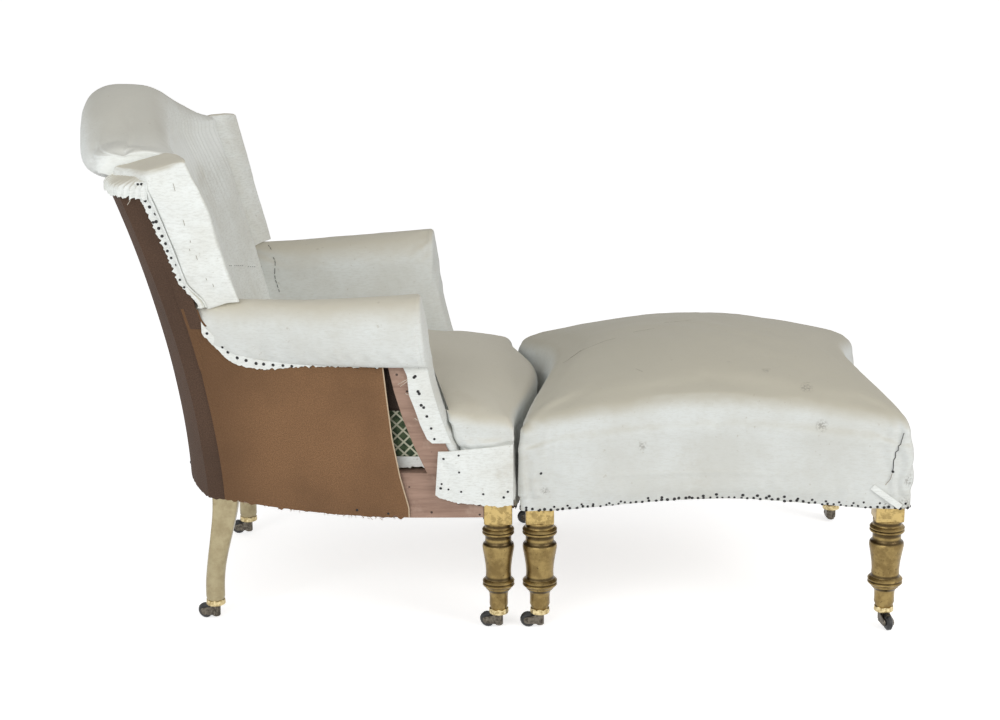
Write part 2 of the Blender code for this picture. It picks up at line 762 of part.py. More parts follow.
def stuffed_top(outline_at, low, top_at, shoulder, centre):
    """A stuffed pad: straight border drawn in a little, round shoulder and a crowned top."""
    base = outline_at(low)

    def settle(i, drawn, depth_at):
        """Place of an outline point whose height depends on the top over it."""
        z = top_at(*base[i]) - shoulder
        for _ in range(3):
            x, y = inset(outline_at(z), drawn)[i]
            z = depth_at(top_at(x, y))
        return x, y, z

    rings = [[(x, y, low) for x, y in base]]
    for share in (1 / 3, 2 / 3):
        rings.append([settle(i, SIDE_DRAW_IN, lambda top: blend(low, top - shoulder, share))
                      for i in range(len(base))])
    for angle in (0, pi / 6, pi / 3, pi / 2):
        rings.append([settle(i, shoulder * (1 - cos(angle)), lambda top: top - shoulder * (1 - sin(angle)))
                      for i in range(len(base))])
    edge = rings[-1]
    for share in DOME_SHARES:
        ring = []
        for x, y, z in edge:
            px, py = blend(centre[0], x, share), blend(centre[1], y, share)
            ring.append((px, py, top_at(px, py)))
        rings.append(ring)
    points, faces = loft(rings)
    faces.pop()
    last = (len(rings) - 1) * len(base)
    points.append((centre[0], centre[1], top_at(*centre)))
    for i in range(len(base)):
        faces.append((last + i, last + (i + 1) % len(base), len(points) - 1))
    return points, faces


def seat_outline(z):
    """Plan of the seat: bowed front, ears in front of the arms, and a narrower rear between them."""
    half = []
    for share in shares(7)[:-1]:
        y = SEAT_HALF_WIDTH * share
        half.append((seat_bow_x(y), y))
    ear_x = arm_front_x(max(z, SKIRT_SWEEP_END)) + SOFT_GAP
    half += [(seat_bow_x(SEAT_HALF_WIDTH), SEAT_HALF_WIDTH)]
    half += [(blend(SEAT_CORNER_X, ear_x, 1 / 2), SEAT_HALF_WIDTH), (ear_x, SEAT_HALF_WIDTH)]
    rear_x = inside_back_x(1.0, z) + SOFT_GAP
    half.append((ear_x, blend(SEAT_HALF_WIDTH, ARM_INNER_FRONT, 1 / 2)))
    for share in shares(6):
        x = blend(ear_x, rear_x, share)
        half.append((x, arm_inner_y(x, z) - SOFT_GAP))
    for share in (2 / 3, 1 / 3):
        half.append((inside_back_x(share, z) + SOFT_GAP, share * back_half(z)))
    middle = (inside_back_x(0.0, z) + SOFT_GAP, 0.0)
    return half + [middle] + [(x, -y) for x, y in reversed(half[1:])]


def seat_top(x, y):
    along = max(1 - ((x - SEAT_MIDDLE_X) / (SEAT_CORNER_X - SEAT_MIDDLE_X)) ** 2, 0.0)
    across = max(1 - (y / SEAT_HALF_WIDTH) ** 2, 0.0)
    rise = SEAT_LENGTH_RISE * along + SEAT_WIDTH_RISE * across + SEAT_CROWN * along * across
    return SEAT_CORNER_Z + rise


seat_pad = add_piece("chair_seat_cushion", make_mesh("seat_cushion", *stuffed_top(
    seat_outline, RAIL_BOTTOM + GAP, seat_top, SEAT_SHOULDER, (-BLOCK_HALF * 3, 0))), CALICO, chair)
cover_inner = SEAT_HALF_WIDTH - COVER_THICKNESS
frame_plan = [(seat_bow_x(cover_inner * share, COVER_THICKNESS), cover_inner * share)
              for share in [blend(-1, 1, s) for s in shares(13)]]
frame_plan += [(REAR_REACH, cover_inner), (REAR_REACH, -cover_inner)]
cut(seat_pad, *prism(frame_plan, RAIL_BOTTOM - OVERRUN, RAIL_TOP + GAP))


def back_section(share):
    """Section of the back at a share of its half width: up the front, over the roll, down the rear."""
    roll = [roll_point(share, pi * angle_share) for angle_share in ROLL_ANGLE_SHARES]
    points = []
    for step in FRONT_RISE_SHARES:
        z = blend(PAD_BOTTOM, roll[0][1], step)
        points.append((inside_back_x(share, z), z))
    points += roll
    for step in REAR_FALL_SHARES:
        z = blend(PAD_BOTTOM, roll[-1][1], step)
        points.append((outside_back_x(share * back_half(z), z) + SHEET_THICKNESS + STUFFING_GAP, z))
    return [(x, share * back_half(z), z) for x, z in points]


back_rings = [back_section(blend(-1, 1, share)) for share in shares(13)]
back_pad = add_piece("chair_back_pad", make_mesh("back_pad", *loft(back_rings)), CALICO, chair)
cut(back_pad, *crest_rail(GAP, OVERRUN))


def arm_section(z, outer_share, rise=0.0):
    """Section of the arm pad: rear end at the post, inner face, round front, outer face."""
    rear = post_front_x(z) + SOFT_GAP
    front = arm_front_x(z)
    inner, outer = [], []
    for share in shares(8)[:-1]:
        x = blend(rear, front, share)
        near = arm_inner_y(x, z)
        full = outside_y(x, z) + SOFT_GAP * 4 * share
        if z >= ARM_UNDERSIDE:
            reach = blend(rear_half(z) + SOFT_GAP, ROLL_OUTER_FRONT, sin(pi / 2 * share))
            middle = (near + reach) / 2
            full = middle + (reach - middle) * outer_share
            near = middle - (middle - near) * max(outer_share, ARM_ROLL_SHARES[-1][1])
            near = max(near, arm_inner_y(x, z))
        inner.append((x, near, z + rise * share ** 2))
        outer.append((x, full, z + rise * share ** 2))
    tip_inner, tip_outer = inner[-1][1], outer[-1][1]
    nose = [(front, blend(tip_inner, tip_outer, share), z + rise) for share in ARM_NOSE_SHARES]
    return inner + nose + list(reversed(outer))


def arm_pad(side):
    rings = [arm_section(z, 1.0) for z in ARM_LEVELS[:-1] + [ARM_UNDERSIDE - SOFT_GAP]]
    for height_share, width_share in ARM_ROLL_SHARES:
        rings.append(arm_section(blend(ARM_UNDERSIDE, ARM_TOP, height_share), width_share,
                                 ARM_TOP_RISE * height_share))
    points, faces = loft(rings)
    faces.pop()
    count = len(rings[0])
    last = (len(rings) - 1) * count
    across = (count - len(ARM_NOSE_SHARES)) // 2
    for i in range(across - 1):
        faces.append((last + i, last + i + 1, last + count - 2 - i, last + count - 1 - i))
    faces.append(tuple(last + i for i in range(across - 1, across + len(ARM_NOSE_SHARES) + 1)))
    return make_mesh("arm_pad", mirrored(points, side), faces)


def arm_hollow(side):
    """The space the arm pad leaves for the arm rail, the post and the open side under the roll."""
    low = PAD_BOTTOM - OVERRUN
    levels = [low] + ARM_LEVELS[:-1]
    groove_top = ARM_RAIL_TOP + GAP
    rear = post_front_x(ARM_TOP) - OVERRUN
    front = arm_post_front_x(ARM_UNDERSIDE)
    stations = [rear] + [blend(post_front_x(ARM_TOP), front, share) for share in shares(7)[:-1]] + [None]
    rings = []
    for station in stations:
        def place(z):
            return arm_post_front_x(z) + GAP if station is None else station
        ring = []
        edge_x = place(ARM_UNDERSIDE)
        ledge = tack_line_z(edge_x)
        rail_inner, rail_outer = arm_rail_faces(edge_x)
        rail_inner -= GAP
        rail_outer += GAP
        for z in levels + [ARM_UNDERSIDE]:
            ring.append((place(z), frame_y(place(z), max(z, PAD_BOTTOM)) - ARM_RAIL_THICKNESS - GAP, z))
        ring.append((place(groove_top), rail_inner, groove_top))
        ring.append((place(groove_top), rail_outer, groove_top))
        ring.append((place(ARM_UNDERSIDE), rail_outer, ledge))
        ring.append((place(ARM_UNDERSIDE), ROLL_OUTER_FRONT + OVERRUN, ledge))
        for z in reversed(levels):
            ring.append((place(z), ROLL_OUTER_FRONT + OVERRUN, z))
        rings.append(ring)
    count = len(rings[0])
    points, faces = loft(rings)
    faces = faces[:-2]
    strips = [(0, 1, 12, 13), (1, 2, 11, 12), (2, 3, 10, 11), (3, 4, 9, 10), (4, 5, 8, 9), (5, 6, 7, 8)]
    last = (len(rings) - 1) * count
    for strip in strips:
        faces.append(strip)
        faces.append(tuple(last + i for i in reversed(strip)))
    return mirrored(points, side), faces


def wing_section(z, inner_rear, outer_rear, drawn):
    """Section of the wing: its rear edge, its inner face, its splayed front and its outer face."""
    front = wing_front_x(z)
    inner = back_half(z) + SOFT_GAP * 2
    outer = rear_half(z) + WING_SWELL
    corners = [(inner_rear, inner), (blend(inner_rear, front - WING_SPLAY, 1 / 2), inner)]
    for splay_share, across_share in WING_NOSE_SHARES:
        corners.append((front - WING_SPLAY * splay_share, blend(inner, outer, across_share)))
    corners += [(blend(outer_rear, front, 1 / 2), outer), (outer_rear, outer)]
    middle_x, middle_y = (outer_rear + front) / 2, (inner + outer) / 2
    return [(blend(x, middle_x, drawn), blend(y, middle_y, drawn)) for x, y in corners]


def wing_pad(side):
    rings = []
    for share in shares(5):
        z = blend(WING_BOTTOM, WING_CAP_Z - GAP, share)
        rear = post_front_x(z) + SOFT_GAP
        rings.append([(x, y, z) for x, y in wing_section(z, rear, rear, 0.0)])
    cap_rear = outside_back_x(back_half(WING_CAP_Z), WING_CAP_Z) + SHEET_THICKNESS + STUFFING_GAP
    for height_share, drawn in WING_CAP_SHARES:
        level = blend(WING_CAP_Z, WING_TOP, height_share)
        plan = wing_section(level, cap_rear, post_front_x(WING_CAP_Z) + SOFT_GAP, drawn)
        rings.append([(x, y, blend(WING_CAP_Z, wing_top_z(x, y), height_share)) for x, y in plan])
    points, faces = loft(rings)
    return make_mesh("wing_pad", mirrored(points, side), faces)


for side, word in ((-1, "right"), (1, "left")):
    pad = add_piece("chair_" + word + "_arm_pad", arm_pad(side), CALICO, chair)
    cut(pad, *arm_hollow(side))
    add_piece("chair_" + word + "_wing_pad", wing_pad(side), CALICO, chair)


# Hessian outsides

def outside_back():
    """The tub-shaped outside back, from the rail's lower edge to the underside of the roll."""
    rows, columns = 9, 13
    front, back = [], []
    for row in shares(rows):
        for column in shares(columns):
            share = blend(-1, 1, column)
            top = roll_centre(share)[1] - roll_half_height(share) - SOFT_GAP * 4
            low = rail_bottom(BACK_CORNER_X)
            z = blend(low, top, row)
            y = share * (rear_half(z) - SHEET_THICKNESS - SOFT_GAP)
            x = outside_back_x(y, z)
            front.append((x, y, z))
            back.append((x + SHEET_THICKNESS, y, z))
    return make_mesh("outside_back", *slab(front, back, grid_faces(rows, columns)))


def outside_arm(side):
    """The outside arm: a strip up the post to the wing, and a panel forward to the selvedge."""
    turn_z = ARM_UNDERSIDE + TACK_RISE
    top_z = WING_CAP_Z - GAP
    lower_rows, upper_rows, strip_columns, panel_columns = 6, 5, 3, 8
    flat, index, faces = [], {}, []

    def panel_ends(share):
        low_x = blend(post_front_x(rail_bottom(BACK_CORNER_X)), SELVEDGE_BOTTOM_X, share)
        high_x = blend(post_front_x(turn_z), SELVEDGE_TOP_X, share)
        return (low_x, rail_bottom(low_x)), (high_x, tack_line_z(high_x) - SOFT_GAP)

    def place(row, column):
        if row <= lower_rows:
            share = row / lower_rows
            z = blend(rail_bottom(BACK_CORNER_X), turn_z - SOFT_GAP, share)
            if column <= strip_columns:
                return blend(corner_x(z), post_front_x(z), column / strip_columns), z
            low, high = panel_ends((column - strip_columns) / panel_columns)
            return blend(low[0], high[0], share), blend(low[1], high[1], share)
        z = blend(turn_z - SOFT_GAP, top_z, (row - lower_rows) / upper_rows)
        return blend(corner_x(z), post_front_x(z), column / strip_columns), z

    def corner(row, column):
        if (row, column) not in index:
            index[(row, column)] = len(flat)
            flat.append(place(row, column))
        return index[(row, column)]

    for row in range(lower_rows + upper_rows):
        wide = strip_columns + panel_columns if row < lower_rows else strip_columns
        for column in range(wide):
            faces.append((corner(row, column), corner(row, column + 1),
                          corner(row + 1, column + 1), corner(row + 1, column)))
    front = [(x, outside_y(x, z), z) for x, z in flat]
    back = [(x, outside_y(x, z) - SHEET_THICKNESS, z) for x, z in flat]
    points, faces = slab(front, back, faces)
    return make_mesh("outside_arm", mirrored(points, side), faces)


add_piece("chair_outside_back", outside_back(), HESSIAN, chair)
for side, word in ((-1, "right"), (1, "left")):
    add_piece("chair_" + word + "_outside_arm", outside_arm(side), HESSIAN, chair)


# Footstool, drawn about its own middle

def stool_end_x(y, inset_by=0.0):
    half = STOOL_HALF_LENGTH - inset_by
    return half - STOOL_HOLLOW * hollow_share(y, SEAT_HALF_WIDTH)


def stool_side_y(x, inset_by=0.0):
    return SEAT_HALF_WIDTH - inset_by - STOOL_SIDE_HOLLOW * hollow_share(x, STOOL_HALF_LENGTH)


def stool_low_z(x, y):
    """Lower edge of the stool's rails: arched between the legs on the long sides."""
    return STOOL_RAIL_BOTTOM + STOOL_ARCH * hollow_share(x, STOOL_HALF_LENGTH)


def stool_outline(inset_by=0.0):
    quarter_end, quarter_side = [], []
    corner_y = SEAT_HALF_WIDTH - inset_by
    corner_x_value = STOOL_HALF_LENGTH - inset_by
    for share in END_STATION_SHARES:
        y = corner_y * share
        quarter_end.append((stool_end_x(y, inset_by), y))
    for share in shares(7)[1:]:
        x = corner_x_value * (1 - share)
        quarter_side.append((x, stool_side_y(x, inset_by)))
    quarter = quarter_end + quarter_side
    half = quarter + [(-x, y) for x, y in reversed(quarter[:-1])]
    return half + [(x, -y) for x, y in reversed(half[1:-1])]


def stool_top(x, y):
    along = max(1 - (x / STOOL_HALF_LENGTH) ** 2, 0.0)
    across = max(1 - (y / SEAT_HALF_WIDTH) ** 2, 0.0)
    rise = STOOL_LENGTH_RISE * along + STOOL_WIDTH_RISE * across + STOOL_CROWN * along * across
    return STOOL_CORNER_Z + rise


def stool_cushion():
    points, faces = stuffed_top(lambda z: stool_outline(), STOOL_RAIL_BOTTOM, stool_top, STOOL_SHOULDER, (0, 0))
    count = len(stool_outline())
    arched = [(x, y, stool_low_z(x, y)) for x, y, z in points[:count]]
    low_middle = (0, 0, STOOL_RAIL_BOTTOM)
    faces = [face for face in faces if len(face) != count]
    points = arched + points[count:] + [low_middle]
    faces += [((i + 1) % count, i, len(points) - 1) for i in range(count)]
    return points, faces


def stool_rail(points_along, outer_at, low_at):
    rings = []
    for place in points_along:
        outer, inner = outer_at(place)
        rings.append([(*outer, low_at(*outer)), (*outer, STOOL_RAIL_TOP),
                      (*inner, STOOL_RAIL_TOP), (*inner, low_at(*outer))])
    return loft(rings)


stool_cover = COVER_THICKNESS + FRAME_SETBACK
end_rail_low = stool_low_z(STOOL_HALF_LENGTH - STOOL_HOLLOW - stool_cover - RAIL_THICKNESS, 0)
side_reach = STOOL_WHEELBASE / 2 - BLOCK_HALF - GAP
end_reach = LEG_Y - BLOCK_HALF - GAP
for side, word in ((-1, "right"), (1, "left")):
    def side_faces(x, side=side):
        outer = stool_side_y(x, stool_cover)
        return (x, side * outer), (x, side * (outer - RAIL_THICKNESS))
    line = [blend(-side_reach, side_reach, share) for share in shares(11)]
    add_piece("stool_" + word + "_rail", make_mesh("stool_side_rail", *stool_rail(
        line, side_faces, stool_low_z)), BEECH, stool)
for side, word in ((-1, "inner"), (1, "outer")):
    def end_faces(y, side=side):
        outer = stool_end_x(y, stool_cover)
        return (side * outer, y), (side * (outer - RAIL_THICKNESS), y)
    line = [blend(-end_reach, end_reach, share) for share in shares(11)]
    add_piece("stool_" + word + "_rail", make_mesh("stool_end_rail", *stool_rail(
        line, end_faces, lambda x, y: end_rail_low)), BEECH, stool)

stool_leg = turned_leg(STOOL_RING_RADIUS, STOOL_RAIL_TOP)
for along, place_word in ((-1, "inner"), (1, "outer")):
    for side, word in ((-1, "right"), (1, "left")):
        add_piece("stool_" + word + "_" + place_word + "_leg", stool_leg, GILT, stool,
                  (along * STOOL_WHEELBASE / 2, side * LEG_Y, 0))


def stool_strap_ends(y):
    reach = stool_end_x(y, COVER_THICKNESS + STRAP_LAP)
    return -reach, reach


stool_cross = strap_lines(-side_reach + STRAP_LAP * 2, side_reach - STRAP_LAP * 2, STOOL_STRAPS_ACROSS)
stool_along = strap_lines(-end_reach + STRAP_LAP, end_reach - STRAP_LAP, STOOL_STRAPS_ALONG)
add_piece("stool_webbing", make_mesh("stool_webbing", *webbing(
    stool_cross, stool_along, stool_strap_ends, lambda x: stool_side_y(x, COVER_THICKNESS + STRAP_LAP),
    lambda x: stool_low_z(x, 0) - GAP)), JUTE, stool)

stool_pad = add_piece("stool_cushion", make_mesh("stool_cushion", *stool_cushion()), CALICO, stool)
cut(stool_pad, *prism(stool_outline(COVER_THICKNESS), STOOL_RAIL_BOTTOM - OVERRUN, STOOL_RAIL_TOP + GAP))


# Castors, drawn with the swivel axis at the origin and the wheel towards +X

def socket_mesh():
    """Brass cup round the leg's foot, with a toothed rim and a hole for the spindle."""
    hole = SPINDLE_RADIUS + SPINDLE_CLEARANCE
    inner = LEG_FOOT_RADIUS + GAP
    outer = inner + SOCKET_WALL
    low = LEG_BOTTOM - SOCKET_BASE
    rim = LEG_BOTTOM + FOOT_HEIGHT - GAP - TOOTH_HEIGHT
    profile = [(hole, low), (outer, low), (outer + SOCKET_LIP, low + SOCKET_BASE), (outer, rim),
               (inner, rim), (inner, LEG_BOTTOM - GAP), (hole, LEG_BOTTOM - GAP)]
    points, faces = ring_body(profile, TURN_SEGMENTS)
    toothed = []
    for i, (x, y, z) in enumerate(points):
        row, turn = divmod(i, TURN_SEGMENTS)
        toothed.append((x, y, z + TOOTH_HEIGHT if row in (3, 4) and turn % 2 == 0 else z))
    return make_mesh("castor_socket", toothed, faces)


def along_y(points, middle_x, middle_z):
    """Turns a shape drawn about Z so that its axis lies along Y, at the wheel's centre."""
    return [(middle_x + x, z, middle_z + y) for x, y, z in points]


def wheel_mesh():
    half = WHEEL_WIDTH / 2
    bore = AXLE_RADIUS + AXLE_CLEARANCE
    profile = [(bore, -half), (WHEEL_RADIUS - WHEEL_ROUNDING, HUB_STEP - half),
               (WHEEL_RADIUS, WHEEL_ROUNDING - half), (WHEEL_RADIUS, half - WHEEL_ROUNDING),
               (WHEEL_RADIUS - WHEEL_ROUNDING, half - HUB_STEP), (bore, half)]
    points, faces = ring_body(profile, WHEEL_SEGMENTS, 1 / 2)
    return make_mesh("castor_wheel", along_y(points, 0, 0), faces)


def fork_parts():
    """Horn on the swivel axis, cheeks either side of the wheel, riveted axle and spindle."""
    inner = WHEEL_WIDTH / 2 + CHEEK_CLEARANCE
    outer = inner + CHEEK_THICKNESS
    horn = turned([(HORN_RADIUS * 3 / 4, HORN_BOTTOM), (HORN_RADIUS, HORN_BOTTOM + HORN_RADIUS / 4),
                   (HORN_RADIUS, HORN_TOP - SOCKET_BASE * 2), (LEG_FOOT_RADIUS * 3 / 4, HORN_TOP - SOCKET_BASE),
                   (LEG_FOOT_RADIUS * 3 / 4, HORN_TOP), (SPINDLE_RADIUS, HORN_TOP),
                   (SPINDLE_RADIUS, HORN_TOP + SPINDLE_LENGTH)], FORK_SEGMENTS)
    arms = []
    for side in (-1, 1):
        rim = []
        for i in range(CHEEK_SEGMENTS + 1):
            angle = pi * (i / (CHEEK_SEGMENTS) - 1 / 2)
            rim.append((TRAIL + CHEEK_RADIUS * cos(angle), AXLE_HEIGHT + CHEEK_RADIUS * sin(angle)))
        rim += [(-HORN_RADIUS / 4, HORN_TOP - SOCKET_BASE), (-HORN_RADIUS / 4, HORN_BOTTOM + HORN_RADIUS / 2)]
        arms.append(loft([[(x, side * y, z) for x, z in rim] for y in (inner, outer)]))
    saddle = loft([[(x, y, z) for x, y in ((-HORN_RADIUS / 2, -outer), (HORN_RADIUS, -outer),
                                           (HORN_RADIUS, outer), (-HORN_RADIUS / 2, outer))]
                   for z in (HORN_BOTTOM + HORN_RADIUS, HORN_TOP - SOCKET_BASE * 3 / 2)])
    head = outer + RIVET_STAND
    axle = turned([(RIVET_RADIUS * 3 / 4, -head), (RIVET_RADIUS, -outer), (AXLE_RADIUS, -outer),
                   (AXLE_RADIUS, outer), (RIVET_RADIUS, outer), (RIVET_RADIUS * 3 / 4, head)], RIVET_SEGMENTS)
    axle = (along_y(axle[0], TRAIL, AXLE_HEIGHT), axle[1])
    room = WHEEL_RADIUS + WHEEL_CLEARANCE
    wheel_room = turned([(room, -inner), (room, inner)], WHEEL_SEGMENTS)
    wheel_room = (along_y(wheel_room[0], TRAIL, AXLE_HEIGHT), wheel_room[1])
    return horn, arms, saddle, axle, wheel_room


def combine(first, second, operation):
    """Boolean of two shapes, worked out once so that all the forks can share it."""
    pieces = []
    for points, faces in (first, second):
        piece = bpy.data.objects.new("work", make_mesh("work", points, faces))
        bpy.context.collection.objects.link(piece)
        pieces.append(piece)
    step = pieces[0].modifiers.new("join", "BOOLEAN")
    step.operation = operation
    step.object = pieces[1]
    step.solver = "EXACT"
    evaluated = pieces[0].evaluated_get(bpy.context.evaluated_depsgraph_get())
    mesh = evaluated.to_mesh()
    points = [tuple(vertex.co) for vertex in mesh.vertices]
    faces = [tuple(polygon.vertices) for polygon in mesh.polygons]
    evaluated.to_mesh_clear()
    for piece in pieces:
        bpy.data.objects.remove(piece)
    return points, faces


def fork_mesh():
    horn, arms, saddle, axle, wheel_room = fork_parts()
    body = combine(horn, saddle, "UNION")
    for arm in arms:
        body = combine(body, arm, "UNION")
    body = combine(body, wheel_room, "DIFFERENCE")
    body = combine(body, axle, "UNION")
    return make_mesh("castor_fork", *body)


socket = socket_mesh()
fork = fork_mesh()
wheel = wheel_mesh()
foot_x = post_centre(SABRE_START) - SABRE_SWEEP
castor_places = {
    "chair_right_front": (chair, 0, -LEG_Y),
    "chair_left_front": (chair, 0, LEG_Y),
    "chair_right_rear": (chair, foot_x, -REAR_LEG_Y),
    "chair_left_rear": (chair, foot_x, REAR_LEG_Y),
    "stool_right_inner": (stool, -STOOL_WHEELBASE / 2, -LEG_Y),
    "stool_left_inner": (stool, -STOOL_WHEELBASE / 2, LEG_Y),
    "stool_right_outer": (stool, STOOL_WHEELBASE / 2, -LEG_Y),
    "stool_left_outer": (stool, STOOL_WHEELBASE / 2, LEG_Y),
}
for name, (frame, x, y) in castor_places.items():
    add_piece(name + "_socket", socket, BRASS, frame, (x, y, 0))
    swivel = add_empty(name + "_swivel", frame, (x, y, 0), radians(CASTOR_TRAILS[name]))
    add_piece(name + "_fork", fork, IRON, swivel)
    add_piece(name + "_wheel", wheel, WHEEL_BLACK, swivel, (TRAIL, 0, AXLE_HEIGHT))
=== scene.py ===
# %% [markdown]
# A duchesse brisee is an easy chair and a footstool that stand together as a long seat. This one is
# stripped to its calico and hessian, so every tack row and torn edge shows. The frame was made as CAD;
# here it is loaded, and its soft parts and finishes are made over it.
# Lengths are metres. The chair faces +X, and its right side, at -Y, is the side nearest the camera.

# %% Load the frame
import json
from math import atan2, cos, degrees, exp, pi, radians, sin, sqrt

import bpy
import numpy as np
from mathutils import Matrix, Vector, noise
from mathutils.bvhtree import BVHTree


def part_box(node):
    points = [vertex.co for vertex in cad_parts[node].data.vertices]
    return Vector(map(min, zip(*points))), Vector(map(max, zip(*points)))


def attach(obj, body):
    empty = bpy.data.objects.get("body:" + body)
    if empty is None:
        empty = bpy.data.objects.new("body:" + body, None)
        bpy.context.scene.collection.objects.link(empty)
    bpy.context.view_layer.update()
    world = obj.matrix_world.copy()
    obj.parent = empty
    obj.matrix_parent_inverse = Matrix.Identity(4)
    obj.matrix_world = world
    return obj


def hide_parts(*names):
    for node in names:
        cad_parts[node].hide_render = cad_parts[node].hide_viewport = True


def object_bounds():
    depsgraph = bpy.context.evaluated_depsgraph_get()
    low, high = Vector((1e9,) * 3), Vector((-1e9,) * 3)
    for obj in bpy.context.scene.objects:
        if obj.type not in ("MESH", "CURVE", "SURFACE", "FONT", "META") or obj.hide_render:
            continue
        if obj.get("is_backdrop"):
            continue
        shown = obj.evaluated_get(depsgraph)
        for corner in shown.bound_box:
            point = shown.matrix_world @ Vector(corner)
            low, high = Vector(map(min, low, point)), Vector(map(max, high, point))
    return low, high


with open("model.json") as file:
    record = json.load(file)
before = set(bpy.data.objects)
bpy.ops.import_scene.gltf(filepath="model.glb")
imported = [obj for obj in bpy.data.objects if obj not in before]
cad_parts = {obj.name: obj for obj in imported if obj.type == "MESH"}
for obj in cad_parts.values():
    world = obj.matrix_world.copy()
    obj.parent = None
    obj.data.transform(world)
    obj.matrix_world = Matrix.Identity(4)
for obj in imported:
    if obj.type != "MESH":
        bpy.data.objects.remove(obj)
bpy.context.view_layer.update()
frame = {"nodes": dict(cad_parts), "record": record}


# %% [markdown]
# The frame is drawn in plan from the chair's front legs, so the first measure taken is where they stand.
# The stool is drawn from its own middle. Every soft piece below is placed from these two lines.

# %% Where the chair and the stool stand
def middle(node):
    low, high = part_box(node)
    return (low + high) / 2


CHAIR_X = middle("chair_right_front_leg").x
LEG_Y = abs(middle("chair_right_front_leg").y)
STOOL_X = (middle("stool_right_inner_leg").x + middle("stool_right_outer_leg").x) / 2
print("chair legs at", round(CHAIR_X, 5), "stool middle at", round(STOOL_X, 5))

# %% [markdown]
# The camera stands a little over three metres off, at standing height, and looks down fourteen degrees.
# Its place was worked out from the level rows of castors, rails and leg rings, so it is typed in.

# %% Camera
eye = bpy.data.cameras.new("camera")
eye.sensor_width = 36.0
eye.lens = 69.04
camera = bpy.data.objects.new("camera", eye)
bpy.context.scene.collection.objects.link(camera)
camera.matrix_world = (Matrix.Translation((CHAIR_X + 0.0140, -3.4314, 1.29)) @ Matrix.Rotation(radians(0.16), 4, "Z")
                       @ Matrix.Rotation(radians(90 - 14.31), 4, "X") @ Matrix.Rotation(radians(-0.41), 4, "Z"))
bpy.context.scene.camera = camera
bpy.context.scene.view_settings.view_transform = "Standard"

# %% [markdown]
# A finish is a small tree of nodes that ends in one shader. The helpers below add a node, a patch of
# noise and a ramp of colours, so that each finish can be read as a short recipe. All patterns lie on
# Object coordinates, or on the cloth's own map where the weave has to follow a sheet.

# %% Helpers for finishes
def new_finish(name, roughness, metallic=0.0, sheen=0.0):
    finish = bpy.data.materials.new(name)
    finish.use_nodes = True
    tree = finish.node_tree
    shader = tree.nodes["Principled BSDF"]
    shader.inputs["Roughness"].default_value = roughness
    shader.inputs["Metallic"].default_value = metallic
    shader.inputs["Sheen Weight"].default_value = sheen
    place = tree.nodes.new("ShaderNodeTexCoord")
    return finish, tree, shader, place.outputs["Object"], place.outputs["UV"]


def patches(tree, place, scale, detail=3.0, rough=0.55):
    """Soft random patches, from 0 to 1."""
    node = tree.nodes.new("ShaderNodeTexNoise")
    node.inputs["Scale"].default_value = scale
    node.inputs["Detail"].default_value = detail
    node.inputs["Roughness"].default_value = rough
    tree.links.new(place, node.inputs["Vector"])
    return node.outputs["Fac"]


def span(tree, value, low, high, to_low=0.0, to_high=1.0):
    """Stretches a value so that low and high become two other values, and holds it between them."""
    node = tree.nodes.new("ShaderNodeMapRange")
    node.interpolation_type = "SMOOTHSTEP"
    for socket, number in zip(("From Min", "From Max", "To Min", "To Max"), (low, high, to_low, to_high)):
        node.inputs[socket].default_value = number
    tree.links.new(value, node.inputs["Value"])
    return node.outputs["Result"]


def tint(tree, share, first, second):
    """A colour between two, by a share. Each may be a colour or the output of another tint."""
    node = tree.nodes.new("ShaderNodeMix")
    node.data_type = "RGBA"
    tree.links.new(share, node.inputs["Factor"])
    for socket, colour in ((6, first), (7, second)):
        if isinstance(colour, tuple):
            node.inputs[socket].default_value = (*colour, 1.0)
        else:
            tree.links.new(colour, node.inputs[socket])
    return node.outputs[2]


def reckon(tree, kind, first, second=0.5):
    node = tree.nodes.new("ShaderNodeMath")
    node.operation = kind
    node.use_clamp = kind == "ADD"
    for i, value in enumerate((first, second)):
        if isinstance(value, (int, float)):
            node.inputs[i].default_value = value
        else:
            tree.links.new(value, node.inputs[i])
    return node.outputs[0]


def relief(tree, shader, height, depth, strength=1.0):
    node = tree.nodes.new("ShaderNodeBump")
    node.inputs["Strength"].default_value = strength
    node.inputs["Distance"].default_value = depth
    tree.links.new(height, node.inputs["Height"])
    tree.links.new(node.outputs["Normal"], shader.inputs["Normal"])


def split(tree, vector):
    node = tree.nodes.new("ShaderNodeSeparateXYZ")
    tree.links.new(vector, node.inputs[0])
    return node.outputs


def threads(tree, vector, x_pitch, y_pitch):
    """A plain weave: threads across and along, where one passes over as the other passes under."""
    x, y, _ = split(tree, vector)
    across = reckon(tree, "SINE", reckon(tree, "MULTIPLY", x, 2 * pi / x_pitch))
    along = reckon(tree, "SINE", reckon(tree, "MULTIPLY", y, 2 * pi / y_pitch))
    return reckon(tree, "MULTIPLY_ADD", reckon(tree, "MULTIPLY", across, along), 0.5)
